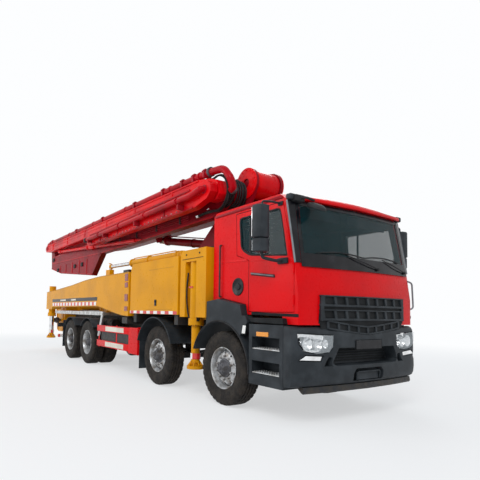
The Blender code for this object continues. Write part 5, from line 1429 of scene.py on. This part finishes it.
def make_rear():
    keep_shape("pump_cylinders", "pump_block", "truck", YELLOW, 0.008)
    rods = [round_bar((x, 6.90, z), (x, 8.70, z), 0.018, 10) for x in (-0.37, 0.0, 0.37)
            for z in (1.30, 1.62)]
    rods += [round_bar((x - 0.02, 6.72, 1.74), (x - 0.02, 6.72, 1.78), 0.03, 8) for x in (-0.3, 0.0, 0.3)]
    done(joined(rods), "tie_rods", "truck", NUT_STEEL, 35)
    lines = [pipe(rounded_route([(x, 4.6, 1.58), (x, 4.6, 1.72), (x, 6.30, 1.72), (x, 6.36, 1.60)], 0.06),
                  0.020, rings=2)
             for x in (-0.26, -0.14, 0.14, 0.26)]
    done(joined(lines), "pump_oil_lines", "truck", IRON, 45)
    keep_shape("hopper", "hopper_tub", "truck", YELLOW, 0.006)
    rim = [block((-0.80, 8.905, 1.395), (-0.778, 9.945, 1.419), 0.004),
           block((0.778, 8.905, 1.395), (0.80, 9.945, 1.419), 0.004),
           slab([(9.955, 1.37), (9.99, 1.37), (9.99, 1.419), (9.955, 1.419)], -0.80, 0.80, edge=0.004)]
    rim += [slab([(9.12, 0.66), (9.16, 0.66), (9.16, 1.38), (9.12, 1.38)], sign * 0.80 - 0.018,
                 sign * 0.80 + 0.018)
            for sign in (-0.98, 0.98)]
    rim += [slab([(9.68, 0.66), (9.72, 0.66), (9.90, 1.38), (9.86, 1.38)], sign * 0.80 - 0.018,
                 sign * 0.80 + 0.018)
            for sign in (-0.98, 0.98)]
    rim += [slab([(9.70, 0.70), (9.71, 0.66), (9.965, 1.38), (9.945, 1.38)], x - 0.012, x + 0.012)
            for x in (-0.55, 0.0, 0.55)]
    done(joined(rim), "hopper_rim_bars", "truck", YELLOW, 34)
    keep_shape("hopper_grate", "grate_bars", "hopper_grate", BLACK, 0.002, 1)
    shaft = [round_bar((-0.84, 9.42, 0.98), (0.84, 9.42, 0.98), 0.035, 16)]
    for i in range(6):
        x, a = -0.60 + 0.24 * i, i * pi / 3
        shaft.append(round_bar((x, 9.42, 0.98), (x, 9.42 + 0.19 * cos(a), 0.98 + 0.19 * sin(a)), 0.014, 8))
        blade = block((x - 0.05, 9.58, 0.955), (x + 0.05, 9.62, 1.005), 0.004)
        turn = Matrix.Translation((x, 9.42, 0.98)) @ Matrix.Rotation(a, 4, "X")
        blade.data.transform(turn @ Matrix.Translation((-x, -9.42, -0.98)))
        shaft.append(blade)
    done(joined(shaft), "agitator", "truck", IRON, 40)
    motors = [turned([(0.83, 0), (0.83, 0.075), (0.86, 0.095), (0.93, 0.095), (0.96, 0.07), (1.03, 0.065),
                      (1.05, 0.04), (1.05, 0)],
                     (0, 9.42, 0.98), "X", 24)]
    motors.append(mirror_image(motors[0]))
    done(joined(motors), "agitator_motors", "truck", IRON, 40)
    outlet = [pipe(rounded_route([(0, 9.70, 0.72), (0, 10.02, 0.72), (0, 10.06, 0.78), (0, 10.06, 0.98)],
                                 0.12, 6), 0.09, rings=4),
              turned([(0.96, 0.08), (0.96, 0.115), (1.00, 0.115), (1.00, 0.08)], (0, 10.06, 0), "Z", 26),
              turned([(9.74, 0.08), (9.74, 0.125), (9.78, 0.125), (9.78, 0.08)], (0, 0, 0.72), "Y", 26)]
    done(joined(outlet), "outlet_elbow", "truck", YELLOW, 45)
    lamps = {"tail_lamps": (TAIL_RED, (0.74, 0.96)), "turn_lamps": (AMBER, (0.965, 1.08))}
    for name, (finish, (x0, x1)) in lamps.items():
        both(block((-x1, 8.641, 0.815), (-x0, 8.668, 0.905), 0.006, 2), name + "_{}", "truck", finish,
             40)
    bar = joined([block((-1.10, 8.639, 0.800), (1.10, 8.645, 0.92), 0.003),
                  block((-0.26, 8.643, 0.82), (0.26, 8.652, 0.91), 0.003)])
    done(bar, "lamp_board", "truck", BLACK)
    bumper = [round_bar((-1.05, 8.70, 0.52), (1.05, 8.70, 0.52), 0.05, 18, edge=0.006)]
    bumper += [block((x - 0.03, 8.56, 0.50), (x + 0.03, 8.64, 0.82), 0.006) for x in (-0.42, 0.42)]
    bumper += [block((x - 0.03, 8.60, 0.48), (x + 0.03, 8.70, 0.56), 0.006) for x in (-0.42, 0.42)]
    done(joined(bumper), "underrun_bar", "truck", TAPE_ACROSS, 40)


# ------------------------------------------------------------ underneath
def leaf_spring(x, y, z, half, leaves=5):
    """A pack of leaves, each shorter than the one above, in its shackles and U-bolts."""
    pieces = []
    for i in range(leaves):
        reach, top = half * (1 - 0.16 * i), z - 0.016 * i
        ys = [-reach + 2 * reach * k / 8 for k in range(9)]
        upper = [(y + t, top + SPRING_SAG * (t / half) ** 2) for t in ys]
        pieces.append(slab(upper + [(a, b - 0.013) for a, b in reversed(upper)], x - 0.038, x + 0.038))
    for end in (-1, 1):
        pieces.append(round_bar((x - 0.045, y + end * half, z + 0.075),
                                (x + 0.045, y + end * half, z + 0.075), 0.028, 14))
        pieces.append(block((x - 0.02, y + end * half - 0.035, z + 0.06),
                            (x + 0.02, y + end * half + 0.035, z + 0.17), 0.006))
    for end in (-1, 1):
        pieces.append(block((x - 0.052, y + end * 0.06 - 0.012, z - 0.10),
                            (x + 0.052, y + end * 0.06 + 0.012, z + 0.03), 0.004))
    return joined(pieces)


def make_underneath():
    for node in ("chassis_frame", "axle_1", "axle_2", "axle_3", "axle_4", "engine_block"):
        keep_shape(node, f"{node}_shape", "truck", BLACK if node != "engine_block" else IRON,
                   0.004)
    for number in (1, 2):
        for side in ("right", "left"):
            keep_shape(f"knuckle_{number}_{side}", f"steering_knuckle_{number}_{side}",
                       f"knuckle_{number}_{side}", IRON, 0.003)
    springs = [leaf_spring(-0.42, y, 0.60, 0.62) for y in (AXLES[1], AXLES[2])]
    springs += [leaf_spring(-0.42, (AXLES[3] + AXLES[4]) / 2, 0.70, 0.66, 7)]
    both(joined(springs), "leaf_springs_{}", "truck", BLACK, 34)
    shaft = [round_bar((0, 0.60, 0.72), (0, 2.9, 0.70), 0.045, 18),
             round_bar((0, 2.95, 0.70), (0, 5.20, 0.60), 0.055, 18),
             round_bar((0, 6.0, 0.60), (0, 6.62, 0.60), 0.045, 18),
             block((-0.10, 2.86, 0.62), (0.10, 3.0, 0.80), 0.02, 2)]
    shaft += [turned([(y, 0), (y, 0.075), (y + 0.025, 0.085), (y + 0.06, 0.085), (y + 0.085, 0.07),
                      (y + 0.085, 0)], (0, 0, z), "Y", 20)
              for y, z in ((0.55, 0.72), (5.18, 0.60), (5.96, 0.60), (6.58, 0.60))]
    shaft += [block((-0.20, 0.05, 0.60), (0.20, 0.62, 0.98), 0.05, 3)]
    done(joined(shaft), "drive_shaft", "truck", IRON, 40)
    silencer = joined([turned([(2.80, 0), (2.80, 0.15), (2.84, 0.18), (3.60, 0.18), (3.64, 0.15),
                               (3.64, 0)], (0.72, 0, 0.76), "Y", 30),
                       pipe(rounded_route([(0.72, 2.82, 0.76), (0.72, 2.6, 0.80), (0.30, 2.5, 0.80),
                                           (0.28, 0.9, 0.80)], 0.1), 0.045, rings=2)])
    done(silencer, "silencer", "truck", IRON, 40)
    box = joined([block((0.47, 3.95, 0.62), (0.92, 4.66, 0.98), 0.03, 3)] + [block((0.60, 3.93, 0.62),
                                                                                   (0.64, 4.68, 1.00),
                                                                                   0.004)])
    done(box, "battery_box", "truck", BLACK, 34)


make_arm_4()
make_arm_5()
make_lower_arms()
make_turret_and_drum()
make_deck_gear()
make_rear()
make_underneath()
